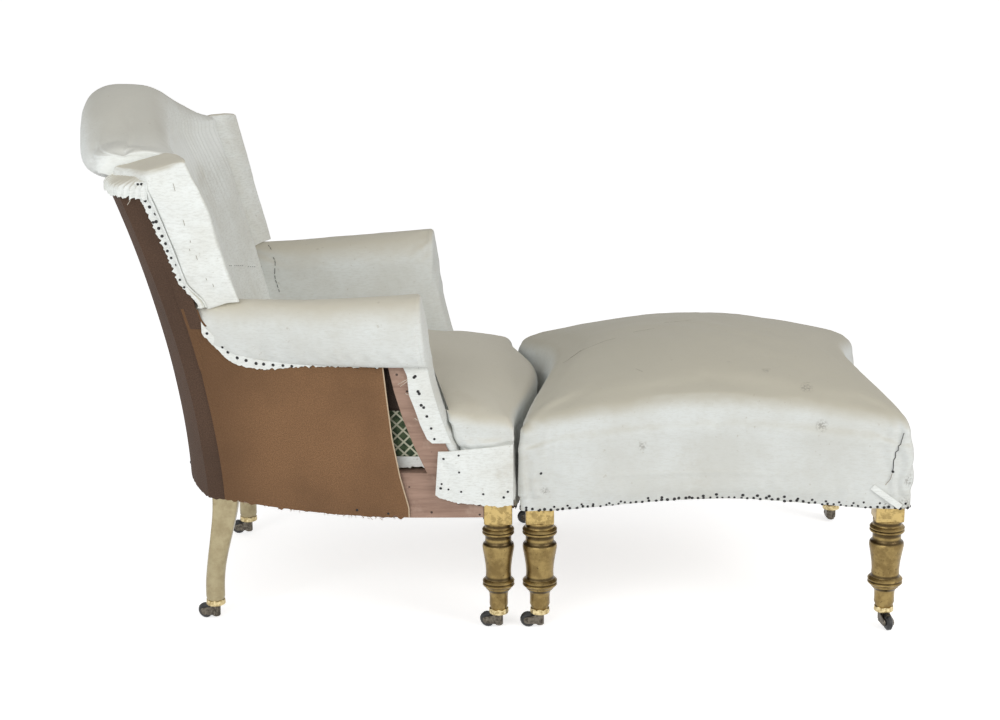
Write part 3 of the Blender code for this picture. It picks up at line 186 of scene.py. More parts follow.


# %% [markdown]
# Calico is plain unbleached cotton. On the sides it is cool and nearly white, and on top it is browned, partly by dust
# and partly by painted shade and the warmer tint that light from above gives, so the tint follows how far a face looks
# upward. Brown freckles and a few grey smears, set at the places where they lie on the real cover, keep it from looking
# new.

# %% Calico
SMEARS = [
    (STOOL_X + 0.091, -0.215, 0.443, 0.011), (STOOL_X + 0.157, -0.253, 0.426, 0.016),
    (STOOL_X + 0.178, -0.300, 0.372, 0.014), (STOOL_X - 0.127, -0.297, 0.339, 0.012),
    (STOOL_X - 0.294, -0.304, 0.262, 0.011), (STOOL_X + 0.328, -0.304, 0.276, 0.015),
    (STOOL_X + 0.322, -0.305, 0.233, 0.018), (STOOL_X + 0.292, -0.303, 0.232, 0.014),
    (STOOL_X - 0.120, -0.275, 0.405, 0.009), (STOOL_X + 0.030, -0.19, 0.452, 0.008),
]


def calico_finish(name, smears=(), grime=0.0, white=1.0, top_dust_and_shade_colour=(0.600, 0.560, 0.455), painted_highlight=0.0):
    finish, tree, shader, place, _ = new_finish(name, 0.92, sheen=0.12)
    facing = tree.nodes.new("ShaderNodeNewGeometry")
    upward = split(tree, facing.outputs["Normal"])[2]
    mottle = patches(tree, place, 9.0, 5.0, 0.6)
    # painted shade and dust: faces that look upward are darkened and warmed, partly for dust that settles there and
    # partly for the shade and warmer light that tops get
    dust_and_top_shade = span(tree, reckon(tree, "ADD", upward, reckon(tree, "MULTIPLY", mottle, 0.35)), 0.25, 1.15)
    clean = tint(tree, span(tree, mottle, 0.35, 0.7), tuple(white * c for c in (0.800, 0.822, 0.796)),
                 tuple(white * c for c in (0.728, 0.734, 0.690)))
    level = tree.nodes.new("ShaderNodeMapping")
    level.inputs["Scale"].default_value = (34.0, 34.0, 120.0)
    tree.links.new(place, level.inputs["Vector"])
    clean = tint(tree, span(tree, patches(tree, level.outputs["Vector"], 3.0, 6.0, 0.7), 0.42, 0.68, 0.0, 0.45), clean,
                 (0.60, 0.60, 0.55))
    colour = tint(tree, dust_and_top_shade, clean, top_dust_and_shade_colour)
    freckle = span(tree, patches(tree, place, 120.0, 2.0), 0.68, 0.78, 0.0, 0.35)
    colour = tint(tree, freckle, colour, (0.40, 0.35, 0.27))
    stain = span(tree, patches(tree, place, 5.0, 6.0, 0.7), 0.56, 0.74, 0.0, 0.30 + grime)
    colour = tint(tree, stain, colour, (0.46, 0.41, 0.31))
    for x, y, z, reach in smears:
        away = tree.nodes.new("ShaderNodeVectorMath")
        away.operation = "DISTANCE"
        away.inputs[1].default_value = (x, y, z)
        tree.links.new(place, away.inputs[0])
        near = span(tree, away.outputs["Value"], reach * 0.25, reach, 1.0, 0.0)
        streak = span(tree, patches(tree, place, 260.0, 3.0), 0.40, 0.62, 0.0, 0.62)
        colour = tint(tree, reckon(tree, "MULTIPLY", near, streak), colour, (0.22, 0.20, 0.17))
    # painted highlight: a whiter band low on the roll, where the end of the roll catches light from above
    if painted_highlight:
        height = split(tree, place)[2]
        painted_highlight_band = reckon(tree, "MULTIPLY", span(tree, height, 0.74, 0.79, 0.0, 1.0), span(tree, height, 0.80, 0.87, painted_highlight, 0.0))
        colour = tint(tree, painted_highlight_band, colour, (0.92, 0.94, 0.91))
    tree.links.new(colour, shader.inputs["Base Color"])
    fine = patches(tree, place, 1400.0, 2.0, 0.7)
    relief(tree, shader, reckon(tree, "ADD", fine, reckon(tree, "MULTIPLY", patches(tree, place, 70.0, 3.0), 0.8)),
           0.0006, 0.35)
    return finish


CALICO = calico_finish("calico", white=0.93)
# the back's calico carries a painted highlight band low on its roll
BACK_CALICO = calico_finish("back_calico", white=1.10, top_dust_and_shade_colour=(0.600, 0.582, 0.510), painted_highlight=0.75)
STOOL_CALICO = calico_finish("stool_calico", SMEARS, white=0.89, top_dust_and_shade_colour=(0.510, 0.475, 0.378))
STRIP_CALICO = calico_finish("strip_calico", grime=0.18, white=1.08)
WING_CALICO = calico_finish("wing_calico", white=1.10)


# %% [markdown]
# Hessian is coarse jute. Its threads are thick and uneven, so the weave is drawn on the sheet's own
# map, which is in metres, and broken up by noise. It is darker at the back and where dirt has settled.

# %% Hessian and the cloths in the arm
def hessian_finish(name, light, dark, pitch=0.0021, selvedge=False):
    finish, tree, shader, place, flat = new_finish(name, 0.97)
    weave = threads(tree, flat, pitch, pitch)
    slub = patches(tree, flat, 420.0, 2.0)
    body = tint(tree, span(tree, slub, 0.3, 0.7), dark, light)
    body = tint(tree, span(tree, weave, 0.15, 0.5, 0.45, 0.0), body, tuple(c * 0.45 for c in dark))
    wear = span(tree, patches(tree, place, 7.0, 5.0), 0.35, 0.75, 0.0, 0.55)
    body = tint(tree, wear, body, tuple(c * 0.66 for c in dark))
    foot = span(tree, split(tree, place)[2], 0.30, 0.22, 0.0, 0.25)
    body = tint(tree, foot, body, tuple(c * 0.6 for c in dark))
    if selvedge:
        rear = span(tree, split(tree, place)[0], CHAIR_X - 0.36, CHAIR_X - 0.52, 0.0, 0.75)
        body = tint(tree, rear, body, (0.118, 0.058, 0.025))
        body = tint(tree, span(tree, split(tree, flat)[0], 0.0018, 0.0026, 0.9, 0.0), body, (0.66, 0.52, 0.36))
    tree.links.new(body, shader.inputs["Base Color"])
    relief(tree, shader, reckon(tree, "ADD", weave, reckon(tree, "MULTIPLY", slub, 0.5)), 0.0010, 0.7)
    return finish


HESSIAN = hessian_finish("hessian", (0.330, 0.176, 0.082), (0.226, 0.116, 0.052), selvedge=True)
BACK_HESSIAN = hessian_finish("back_hessian", (0.125, 0.070, 0.043), (0.082, 0.045, 0.027))
LINING = hessian_finish("dark_lining", (0.150, 0.105, 0.080), (0.080, 0.056, 0.045), 0.0012)


def old_cover_finish():
    """A worn green cover with a plain diamond lattice."""
    finish, tree, shader, _, flat = new_finish("old_cover", 0.9, sheen=0.1)
    x, y, _ = split(tree, flat)
    bars = []
    for lean in ("ADD", "SUBTRACT"):
        slope = tree.nodes.new("ShaderNodeMath")
        slope.operation = lean
        tree.links.new(x, slope.inputs[0])
        tree.links.new(y, slope.inputs[1])
        wave = reckon(tree, "SINE", reckon(tree, "MULTIPLY", slope.outputs[0], pi / 0.021))
        bars.append(span(tree, reckon(tree, "ABSOLUTE", wave), 0.42, 0.22))
    lattice = reckon(tree, "MAXIMUM", bars[0], bars[1])
    ground = tint(tree, span(tree, patches(tree, flat, 60.0), 0.4, 0.6), (0.030, 0.055, 0.025), (0.085, 0.125, 0.060))
    colour = tint(tree, lattice, ground, (0.66, 0.66, 0.50))
    tree.links.new(colour, shader.inputs["Base Color"])
    relief(tree, shader, threads(tree, flat, 0.0011, 0.0011), 0.0004, 0.5)
    return finish


OLD_COVER = old_cover_finish()


# %% [markdown]
# The seat rails and arm posts are bare beech with the pinkish brown of an old frame. Tacks have been
# driven and drawn many times, which leaves small dark holes. The grain is noise stretched along X.

# %% Beech
def beech_finish():
    finish, tree, shader, place, _ = new_finish("beech", 0.72)
    along = tree.nodes.new("ShaderNodeMapping")
    along.inputs["Scale"].default_value = (5.0, 60.0, 60.0)
    tree.links.new(place, along.inputs["Vector"])
    grain = patches(tree, along.outputs["Vector"], 2.2, 5.0, 0.65)
    colour = tint(tree, span(tree, grain, 0.3, 0.7), (0.385, 0.248, 0.186), (0.270, 0.168, 0.122))
    scuff = span(tree, patches(tree, place, 26.0, 6.0, 0.7), 0.52, 0.72, 0.0, 0.6)
    colour = tint(tree, scuff, colour, (0.50, 0.36, 0.28))
    cells = tree.nodes.new("ShaderNodeTexVoronoi")
    cells.inputs["Scale"].default_value = 62.0
    tree.links.new(place, cells.inputs["Vector"])
    hole = span(tree, cells.outputs["Distance"], 0.10, 0.16, 1.0, 0.0)
    some = span(tree, split(tree, cells.outputs["Color"])[0], 0.45, 0.5)
    hole = reckon(tree, "MULTIPLY", hole, some)
    colour = tint(tree, hole, colour, (0.045, 0.025, 0.018))
    tree.links.new(colour, shader.inputs["Base Color"])
    relief(tree, shader, reckon(tree, "SUBTRACT", grain, hole), 0.0012, 0.6)
    return finish


BEECH = beech_finish()


# %% [markdown]
# The turned legs are gilded. The gilding is bright on the rings and dark brown in the grooves between them, so the dark
# is laid by height up the leg, and the square block above the turning has flaked to a paler gold. The sabre legs behind
# are gilded too, in a paler, greyer gold.

# %% Gilding
GROOVES = [(0.0720, 0.0042), (0.0868, 0.0018), (0.0960, 0.0040), (0.1605, 0.0060), (0.1718, 0.0050),
           (0.1810, 0.0016), (0.1925, 0.0040)]


def gilt_finish(name, bright, worn, dark, grooves=(), flaking=0.95, spots=0.7):
    finish, tree, shader, place, _ = new_finish(name, 0.33, metallic=0.85)
    rub = patches(tree, place, 40.0, 6.0, 0.65)
    colour = tint(tree, span(tree, rub, 0.35, 0.65), bright, worn)
    fleck = span(tree, patches(tree, place, 190.0, 3.0, 0.7), 0.60, 0.70, 0.0, spots)
    colour = tint(tree, fleck, colour, tuple(1.6 * c for c in dark))
    height = split(tree, place)[2]
    for level, reach in grooves:
        off = reckon(tree, "ABSOLUTE", reckon(tree, "SUBTRACT", height, level))
        colour = tint(tree, span(tree, off, reach * 0.25, reach, 0.82, 0.0), colour, dark)
    flaked = reckon(tree, "MULTIPLY", span(tree, height, 0.196, 0.199),
                    span(tree, patches(tree, place, 95.0, 5.0, 0.7), 0.42, 0.55, flaking * 0.25, flaking))
    colour = tint(tree, flaked, colour, (0.56, 0.41, 0.165))
    tree.links.new(colour, shader.inputs["Base Color"])
    relief(tree, shader, rub, 0.0010, 0.35)
    return finish


GILT = gilt_finish("gilt", (0.330, 0.236, 0.090), (0.188, 0.127, 0.046), (0.036, 0.022, 0.009), GROOVES)
PALE_GILT = gilt_finish("pale_gilt", (0.395, 0.338, 0.208), (0.305, 0.250, 0.146), (0.14, 0.11, 0.065), flaking=0.0, spots=0.2)


# %% [markdown]
# Brass, iron, ebonised wood, tack heads and thread are small, so each is a plain shader with a little
# noise in its colour. The webbing is jute, woven closer than the hessian, with darker threads along it.

# %% Small finishes
def small_finish(name, bright, dark, roughness, metallic=0.0, scale=160.0):
    finish, tree, shader, place, _ = new_finish(name, roughness, metallic)
    rub = patches(tree, place, scale, 4.0, 0.6)
    tree.links.new(tint(tree, span(tree, rub, 0.38, 0.66), bright, dark), shader.inputs["Base Color"])
    relief(tree, shader, rub, 0.0005, 0.4)
    return finish


BRASS = small_finish("brass", (0.72, 0.60, 0.34), (0.36, 0.27, 0.12), 0.34, 0.9)
IRON = small_finish("iron", (0.17, 0.15, 0.12), (0.06, 0.05, 0.04), 0.42, 0.85)
WHEEL = small_finish("wheel_black", (0.020, 0.020, 0.021), (0.008, 0.008, 0.008), 0.38)
TACK = small_finish("tack_head", (0.035, 0.034, 0.036), (0.012, 0.011, 0.011), 0.40, 0.6, 500.0)
THREAD = small_finish("thread", (0.80, 0.76, 0.66), (0.62, 0.56, 0.44), 0.9)
SCUFF = small_finish("scuff", (0.36, 0.33, 0.28), (0.30, 0.27, 0.22), 0.9)
FIBRE = small_finish("fibre", (0.30, 0.20, 0.11), (0.17, 0.10, 0.05), 0.9)


def webbing_finish():
    finish, tree, shader, place, _ = new_finish("jute_webbing", 0.93, sheen=0.1)
    weave = threads(tree, place, 0.0034, 0.0034)
    slub = patches(tree, place, 240.0, 3.0)
    colour = tint(tree, span(tree, slub, 0.3, 0.7), (0.42, 0.31, 0.18), (0.30, 0.21, 0.11))
    colour = tint(tree, span(tree, weave, 0.2, 0.5, 0.5, 0.0), colour, (0.10, 0.06, 0.03))
    tree.links.new(colour, shader.inputs["Base Color"])
    relief(tree, shader, weave, 0.0008, 0.7)
    return finish


WEBBING = webbing_finish()

# %% [markdown]
# The hard parts of the frame keep their CAD shapes and only get their finish.

# %% Finishes on the CAD pieces
FINISH_OF = {"beech": BEECH, "gilt_wood": GILT, "brass": BRASS, "iron": IRON, "wheel_black": WHEEL,
             "jute_webbing": WEBBING, "calico": CALICO, "hessian": HESSIAN}
slots = {part["node"]: part["material_slot"] for part in frame["record"]["subparts"]}
for name, piece in frame["nodes"].items():
    for place in piece.material_slots:
        place.material = FINISH_OF[slots[name]]
print("finished", len(slots), "CAD pieces")


# %% [markdown]
# The upholsterer's lines are curves, so they are written as small functions: where the back leans,
# how the sides flare, how the roll swells. Each takes a place on the chair and gives the line there.
# Heights are from the floor, x is from the front legs, and y is a distance to either side.

# %% Lines of the chair
SHEET = 0.002
SOFT_GAP = 0.0008
SEAT_HALF = 0.308
PAD_LOW = 0.2955
ARM_UNDER = 0.488
ARM_HEIGHT = 0.102


def mix(a, b, share):
    return a + (b - a) * share


def ease(low, high, value):
    share = min(max((value - low) / (high - low), 0.0), 1.0)
    return share * share * (3 - 2 * share)


def corner_x(z):
    return -0.5025 - 0.123 * (max(z - 0.215, 0.0) / 0.571) ** 1.75


def rear_half(z):
    return 0.250 + 0.0862 * max(z - 0.212, 0.0)


def back_half(z):
    return 0.200 + 0.115 * (z - 0.36)


def outside_y(x, z):
    share = min(max((x - corner_x(z)) / (-0.10 - corner_x(z)), 0.0), 1.0)
    return mix(rear_half(z), 0.3035 + 0.080 * (z - 0.212), sin(pi / 2 * share))


def outside_back_x(y, z):
    return corner_x(z) - 0.065 * (1 - min(abs(y) / rear_half(z), 1.0) ** 2)


def inside_back_x(share, z):
    swell = 0.010 * max(sin(pi * (z - PAD_LOW) / (0.928 - PAD_LOW)), 0.0)
    return -0.450 - 0.285 * (z - 0.38) + 0.030 * share ** 2 + swell


def post_front_x(z):
    return corner_x(z) + 0.051


def arm_front_x(z):
    return -0.126 + 0.070 * (max(0.60 - z, 0.0) / 0.30) ** 2


def arm_inner_y(x, z):
    rear_x = inside_back_x(1.0, z)
    share = min(max((x - rear_x) / (-0.10 - rear_x), 0.0), 1.0)
    return mix(back_half(z) + SOFT_GAP, 0.252, share)


def tack_line_z(x):
    rear_x = post_front_x(0.555)
    share = min(max((-0.36 - x) / (-0.36 - rear_x), 0.0), 1.0)
    return ARM_UNDER + 0.067 * (1 - sqrt(1 - share ** 2))


def rail_bottom(x):
    run = max(-0.15 - x, 0.0) / (-0.15 + 0.5025)
    return 0.212 + 0.024 * min(run, 1.0) ** 2


def seat_bow_x(y, inset=0.0):
    return 0.030 - inset + 0.047 * cos(pi / 2 * min(abs(y) / SEAT_HALF, 1.0)) ** 2


# %% [markdown]
# A soft form starts as a flat grid, or as a grid whose rim is drawn down into a box, and its points are
# then laid on the lines above. That keeps even, square faces for the cloth to bend along. Everything is
# deselected first, because an operator acts on all that is selected.

# %% Helpers for soft forms
def start(name):
    """Takes the primitive just added as the piece to work on."""
    piece = bpy.context.object
    piece.name = name
    piece.data.name = name
    return piece


def clear():
    if bpy.context.object and bpy.context.object.mode != "OBJECT":
        bpy.ops.object.mode_set(mode="OBJECT")
    bpy.ops.object.select_all(action="DESELECT")


def only(piece):
    clear()
    piece.select_set(True)
    bpy.context.view_layer.objects.active = piece


def points_of(piece):
    co = np.empty(len(piece.data.vertices) * 3)
    piece.data.vertices.foreach_get("co", co)
    return co.reshape(-1, 3)


def set_points(piece, co):
    piece.data.vertices.foreach_set("co", np.ascontiguousarray(co, float).ravel())
    piece.data.update()


def grid_from(name, table):
    """Lays a grid primitive on a table of points, and maps it in metres so that a weave follows it."""
    table = np.asarray(table, float)
    rows, columns = table.shape[:2]
    clear()
    bpy.ops.mesh.primitive_grid_add(x_subdivisions=columns - 1, y_subdivisions=rows - 1, size=2)
    piece = start(name)
    flat = points_of(piece)
    c = np.rint((flat[:, 0] + 1) / 2 * (columns - 1)).astype(int)
    r = np.rint((flat[:, 1] + 1) / 2 * (rows - 1)).astype(int)
    set_points(piece, table[r, c])
    along = np.linalg.norm(np.diff(table, axis=1), axis=2).mean(0).sum()
    across = np.linalg.norm(np.diff(table, axis=0), axis=2).mean(1).sum()
    uv = np.empty(len(piece.data.loops) * 2)
    piece.data.uv_layers.active.data.foreach_get("uv", uv)
    uv = uv.reshape(-1, 2) * (along, across)
    piece.data.uv_layers.active.data.foreach_set("uv", uv.ravel())
    piece["size"] = (along, across)
    return piece


def in_edit(piece, *steps):
    """Runs edit-mode steps with every face of one piece selected."""
    only(piece)
    bpy.ops.object.mode_set(mode="EDIT")
    bpy.ops.mesh.select_all(action="SELECT")
    for step in steps:
        step()
    bpy.ops.object.mode_set(mode="OBJECT")


def merge():
    bpy.ops.mesh.remove_doubles(threshold=0.00002)


def outward():
    bpy.ops.mesh.normals_make_consistent(inside=False)


def smooth(piece, angle=50):
    only(piece)
    bpy.ops.object.shade_smooth_by_angle(angle=radians(angle))


def apply_modifier(piece, kind, **settings):
    only(piece)
    step = piece.modifiers.new(kind.lower(), kind)
    for key, value in settings.items():
        setattr(step, key, value)
    bpy.ops.object.modifier_apply(modifier=step.name)


def dress(piece, finish):
    piece.data.materials.clear()
    piece.data.materials.append(finish)
    print(piece.name, len(piece.data.polygons), "faces")
    return piece


def even(points, count):
    """The same line with evenly spaced points."""
    points = np.asarray(points, float)
    steps = np.r_[0, np.cumsum(np.linalg.norm(np.diff(points, axis=0), axis=1))]
    at = np.linspace(0, steps[-1], count)
    return np.column_stack([np.interp(at, steps, points[:, i]) for i in range(points.shape[1])])


# %% [markdown]
# Stuffing presses outward on its cover, so a pad is blown up a little by the cloth solver, with gravity
# off. What is tacked down is pinned, and no point may move further than the slack that tight calico
# has. Afterwards one subdivision gives enough points for creases, which are pressed in along the
# surface's own normals.

# %% Helpers for stuffing
def plump(piece, pinned, slack, pressure=4.0, spare=0.0):
    only(piece)
    before = points_of(piece)
    group = piece.vertex_groups.new(name="tacked")
    group.add([int(i) for i in pinned], 1.0, "REPLACE")
    step = piece.modifiers.new("cloth", "CLOTH")
    step.settings.use_pressure = True
    step.settings.uniform_pressure_force = pressure
    step.settings.effector_weights.gravity = 0.0
    step.settings.vertex_group_mass = "tacked"
    step.settings.quality = 4
    step.settings.shrink_min = -spare
    step.settings.tension_stiffness = 25.0
    step.settings.compression_stiffness = 25.0
    step.settings.bending_stiffness = 1.5
    step.point_cache.frame_start, step.point_cache.frame_end = 1, 20
    for number in range(1, 21):
        bpy.context.scene.frame_set(number)
    shaped = piece.evaluated_get(bpy.context.evaluated_depsgraph_get())
    after = np.empty(len(before) * 3)
    shaped.data.vertices.foreach_get("co", after)
    move = after.reshape(-1, 3) - before
    piece.modifiers.remove(step)
    piece.vertex_groups.clear()
    bpy.context.scene.frame_set(1)
    far = np.linalg.norm(move, axis=1, keepdims=True)
    move *= np.minimum(1.0, slack / np.maximum(far, 1e-9))
    set_points(piece, before + move)
    print(piece.name, "swelled by up to", round(float(np.linalg.norm(move, axis=1).max()) * 1000, 1), "mm")


def press(piece, depth_at):
    """Moves each point along its own normal by what depth_at says for it."""
    co = points_of(piece)
    normals = np.empty(len(co) * 3)
    piece.data.vertices.foreach_get("normal", normals)
    normals = normals.reshape(-1, 3)
    depth = np.array([depth_at(*point, *normal) for point, normal in zip(co, normals)])
    set_points(piece, co + normals * depth[:, None])


def wavy(x, y, z, scale, seed=0.0):
    return noise.noise(Vector((x * scale + seed, y * scale, z * scale)))


def groove(point, line, width):
    """How deep a crease along a line is at a point: 1 on the line, and fading over its width."""
    nearest = 1e9
    p = Vector(point)
    for a, b in zip(line, line[1:]):
        a, b = Vector(a), Vector(b)
        share = min(max((p - a).dot(b - a) / max((b - a).length_squared, 1e-12), 0.0), 1.0)
        nearest = min(nearest, (p - a.lerp(b, share)).length)
    return exp(-(nearest / width) ** 2)


# %% [markdown]
# ## The footstool's cover
# One piece of calico is drawn over a domed stuffing and tacked under the rails' lower edge all round. A
# grid whose rim is drawn down gives the top and the border in one mesh. Its lines crowd together at the
# shoulder, where the cloth turns. The two ends are hollowed, so that the stool nests round the chair.

# %% Lines of the footstool
STOOL_HALF = 0.336
SHOULDER = 0.026


def hollow(value, half):
    return cos(pi / 2 * min(abs(value) / half, 1.0)) ** 2


def stool_end(y):
    return STOOL_HALF - 0.058 * hollow(y, SEAT_HALF)


def stool_side(x):
    return SEAT_HALF - 0.012 * hollow(x, STOOL_HALF)


def stool_low(x):
    return 0.2235 + 0.017 * hollow(x, STOOL_HALF)


def stool_top(x, y):
    along = max(1 - (x / STOOL_HALF) ** 2, 0.0)
    across = max(1 - (y / SEAT_HALF) ** 2, 0.0)
    return 0.384 + 0.032 * along + 0.018 * across + 0.044 * along * across


def stations(half, shoulder, inner, arc):
    """Places along a half width: even over the top, then by angle round the shoulder, with the angles."""
    places = [(half - shoulder) * i / inner for i in range(inner + 1)]
    turns = [0.0] * (inner + 1)
    for k in range(1, arc + 1):
        places.append(half - shoulder + shoulder * sin(pi / 2 * k / arc))
        turns.append(pi / 2 * k / arc)
    return places, turns


def rounded(x, y, half_x, half_y, corner):
    """A point of a rectangle, moved so that the rectangle's corners are rounded in plan."""
    u, v = (abs(x) - half_x + corner) / corner, (abs(y) - half_y + corner) / corner
    if u > 0 and v > 0:
        u, v = u * sqrt(1 - v * v / 2), v * sqrt(1 - u * u / 2)
        x = (half_x - corner + corner * u) * (1 if x > 0 else -1)
        y = (half_y - corner + corner * v) * (1 if y > 0 else -1)
    return x, y


# %% A grid with its rim drawn down
def boxed(name, across, along, levels):
    """A grid of cells across X and Y whose rim is extruded down, one unit a level."""
    clear()
    bpy.ops.mesh.primitive_grid_add(x_subdivisions=across, y_subdivisions=along, size=2)
    piece = start(name)
    bpy.ops.object.mode_set(mode="EDIT")
    bpy.ops.mesh.select_mode(type="EDGE")
    bpy.ops.mesh.select_all(action="DESELECT")
    bpy.ops.mesh.select_non_manifold()
    for _ in range(levels):
        bpy.ops.mesh.extrude_region_move(TRANSFORM_OT_translate={"value": (0, 0, -1)})
    bpy.ops.mesh.select_mode(type="VERT")
    bpy.ops.object.mode_set(mode="OBJECT")
    return piece


def close_rim(piece):
    """Closes the one open rim of a piece with a flat face, after its surface has been subdivided."""
    only(piece)
    bpy.ops.object.mode_set(mode="EDIT")
    bpy.ops.mesh.select_mode(type="EDGE")
    bpy.ops.mesh.select_all(action="DESELECT")
    bpy.ops.mesh.select_non_manifold()
    bpy.ops.mesh.edge_face_add()
    bpy.ops.mesh.select_all(action="SELECT")
    bpy.ops.mesh.normals_make_consistent(inside=False)
    bpy.ops.mesh.select_mode(type="VERT")
    bpy.ops.object.mode_set(mode="OBJECT")


def cell(value, count):
    """Which line of the grid a coordinate from -1 to 1 belongs to, counted from the middle."""
    return int(round((value + 1) / 2 * count)) - count // 2


# %% Build the footstool's cover
SIDE_CELLS, END_CELLS, BORDER = 92, 84, 22
x_places, x_turns = stations(STOOL_HALF, SHOULDER, SIDE_CELLS // 2 - 6, 6)
y_places, y_turns = stations(SEAT_HALF, SHOULDER, END_CELLS // 2 - 6, 6)
stool_cover = boxed("stool_cover", SIDE_CELLS, END_CELLS, BORDER + 3)


def lay_stool(x, y, level):
    i, j = cell(x, SIDE_CELLS), cell(y, END_CELLS)
    px = x_places[abs(i)] * (1 if i > 0 else -1)
    py = y_places[abs(j)] * (1 if j > 0 else -1)
    px, py = rounded(px, py, STOOL_HALF, SEAT_HALF, 0.011)
    y0 = py * stool_side(px) / SEAT_HALF
    x0 = px * stool_end(y0) / STOOL_HALF
    drop = SHOULDER * (1 - cos(x_turns[abs(i)]) * cos(y_turns[abs(j)]))
    top = stool_top(x0, y0) - drop
    if level == 0:
        return x0, y0, top
    share = min(level / BORDER, 1.0)
    drawn = 0.003 * sin(pi * min(share * 1.1, 1.0)) * ease(0.04, 0.09, SEAT_HALF - abs(y0) + STOOL_HALF - abs(x0))
    if level > BORDER:
        drawn = 0.0042
    back = 1 - drawn / max(abs(x0), abs(y0))
    z = mix(top, stool_low(x0), share)
    if level == BORDER + 2:
        z = 0.3004
    if level == BORDER + 3:
        return x0 * 0.93, y0 * 0.93, 0.3004
    return x0 * back, y0 * back, z


co = points_of(stool_cover)
levels = np.rint(-co[:, 2]).astype(int)
laid = np.array([lay_stool(x, y, level) for (x, y, _), level in zip(co, levels)])
set_points(stool_cover, laid)
corner = (np.abs(laid[:, 0]) > STOOL_HALF - 0.05) & (np.abs(laid[:, 1]) > SEAT_HALF - 0.05) & (laid[:, 2] < 0.335)
plump(stool_cover, np.nonzero((levels >= BORDER - 1) | corner)[0], 0.004)
apply_modifier(stool_cover, "SUBSURF", levels=1, render_levels=1)
close_rim(stool_cover)


# %% [markdown]
# Creases are pressed in where the photograph shows them: a long one low on the border, short pleats
# where the cloth is bunched at each corner, and faint drag lines in the top.

# %% Creases in the footstool's cover
LONG_CREASE = [(-0.245, -0.303, 0.279), (-0.13, -0.298, 0.2825), (0.012, -0.294, 0.2838), (0.125, -0.297, 0.280)]
SLIT = [(0.313, -0.308, 0.360), (0.305, -0.307, 0.325), (0.298, -0.306, 0.2925), (0.290, -0.306, 0.268)]


def stool_crease(x, y, z, nx, ny, nz):
    depth = 0.0011 * wavy(x, y, z, 14.0) + 0.0004 * wavy(x, y, z, 60.0)
    corner = exp(-((STOOL_HALF - abs(x)) / 0.045) ** 2) * exp(-((SEAT_HALF - abs(y)) / 0.045) ** 2)
    if z > 0.25 and corner > 0.02:
        fold = sin(240 * (x + y * 0.35) + 5 * wavy(x, y, z, 22.0))
        depth += corner * (0.0004 + 0.0022 * fold) * ease(0.40, 0.36, z) + 0.0012 * corner
    if y < -0.27 and z < 0.31:
        depth -= 0.0022 * groove((x, y, z), LONG_CREASE, 0.0030)
        depth += 0.0014 * groove((x, y, z - 0.005), LONG_CREASE, 0.0045)
    if y < -0.28 and x > 0.27:
        depth -= 0.0020 * groove((x, y, z), SLIT, 0.0026)
    if abs(ny) > 0.8:
        depth += 0.0006 * sin(x * 210 + 4 * wavy(x, y, z, 12.0)) * ease(0.30, 0.235, z)
    if nz > 0.8:
        depth += 0.0007 * sin(60 * (x * 0.5 + y) + 6 * wavy(x, y, 0.0, 5.0)) * hollow(x, STOOL_HALF)
    return depth


press(stool_cover, stool_crease)
set_points(stool_cover, points_of(stool_cover) + (STOOL_X, 0, 0))
smooth(stool_cover, 60)
dress(stool_cover, STOOL_CALICO)
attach(stool_cover, "stool")
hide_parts("stool_cushion")

# %% [markdown]
# ## The seat
# The seat is stuffed in the same way, but its plan is bowed in front and has an ear on each side,
# in front of the arm. The same boxed grid is used, with its width stepping in behind the ears.

# %% Build the seat
SEAT_CELLS_X, SEAT_CELLS_Y, SEAT_BORDER, SEAT_SHOULDER = 84, 80, 20, 0.020
seat_cover = boxed("seat_cover", SEAT_CELLS_X, SEAT_CELLS_Y, SEAT_BORDER + 3)
SEAT_MID = -0.19


def seat_top(x, y):
    along = max(1 - ((x - SEAT_MID) / (0.030 - SEAT_MID)) ** 2, 0.0)
    across = max(1 - (y / SEAT_HALF) ** 2, 0.0)
    return 0.386 + 0.014 * along + 0.010 * across + 0.036 * along * across


seat_x_places, seat_x_turns = stations(1.0, 0.075, SEAT_CELLS_X // 2 - 6, 6)
seat_y_places, seat_y_turns = stations(SEAT_HALF, SEAT_SHOULDER, SEAT_CELLS_Y // 2 - 6, 6)


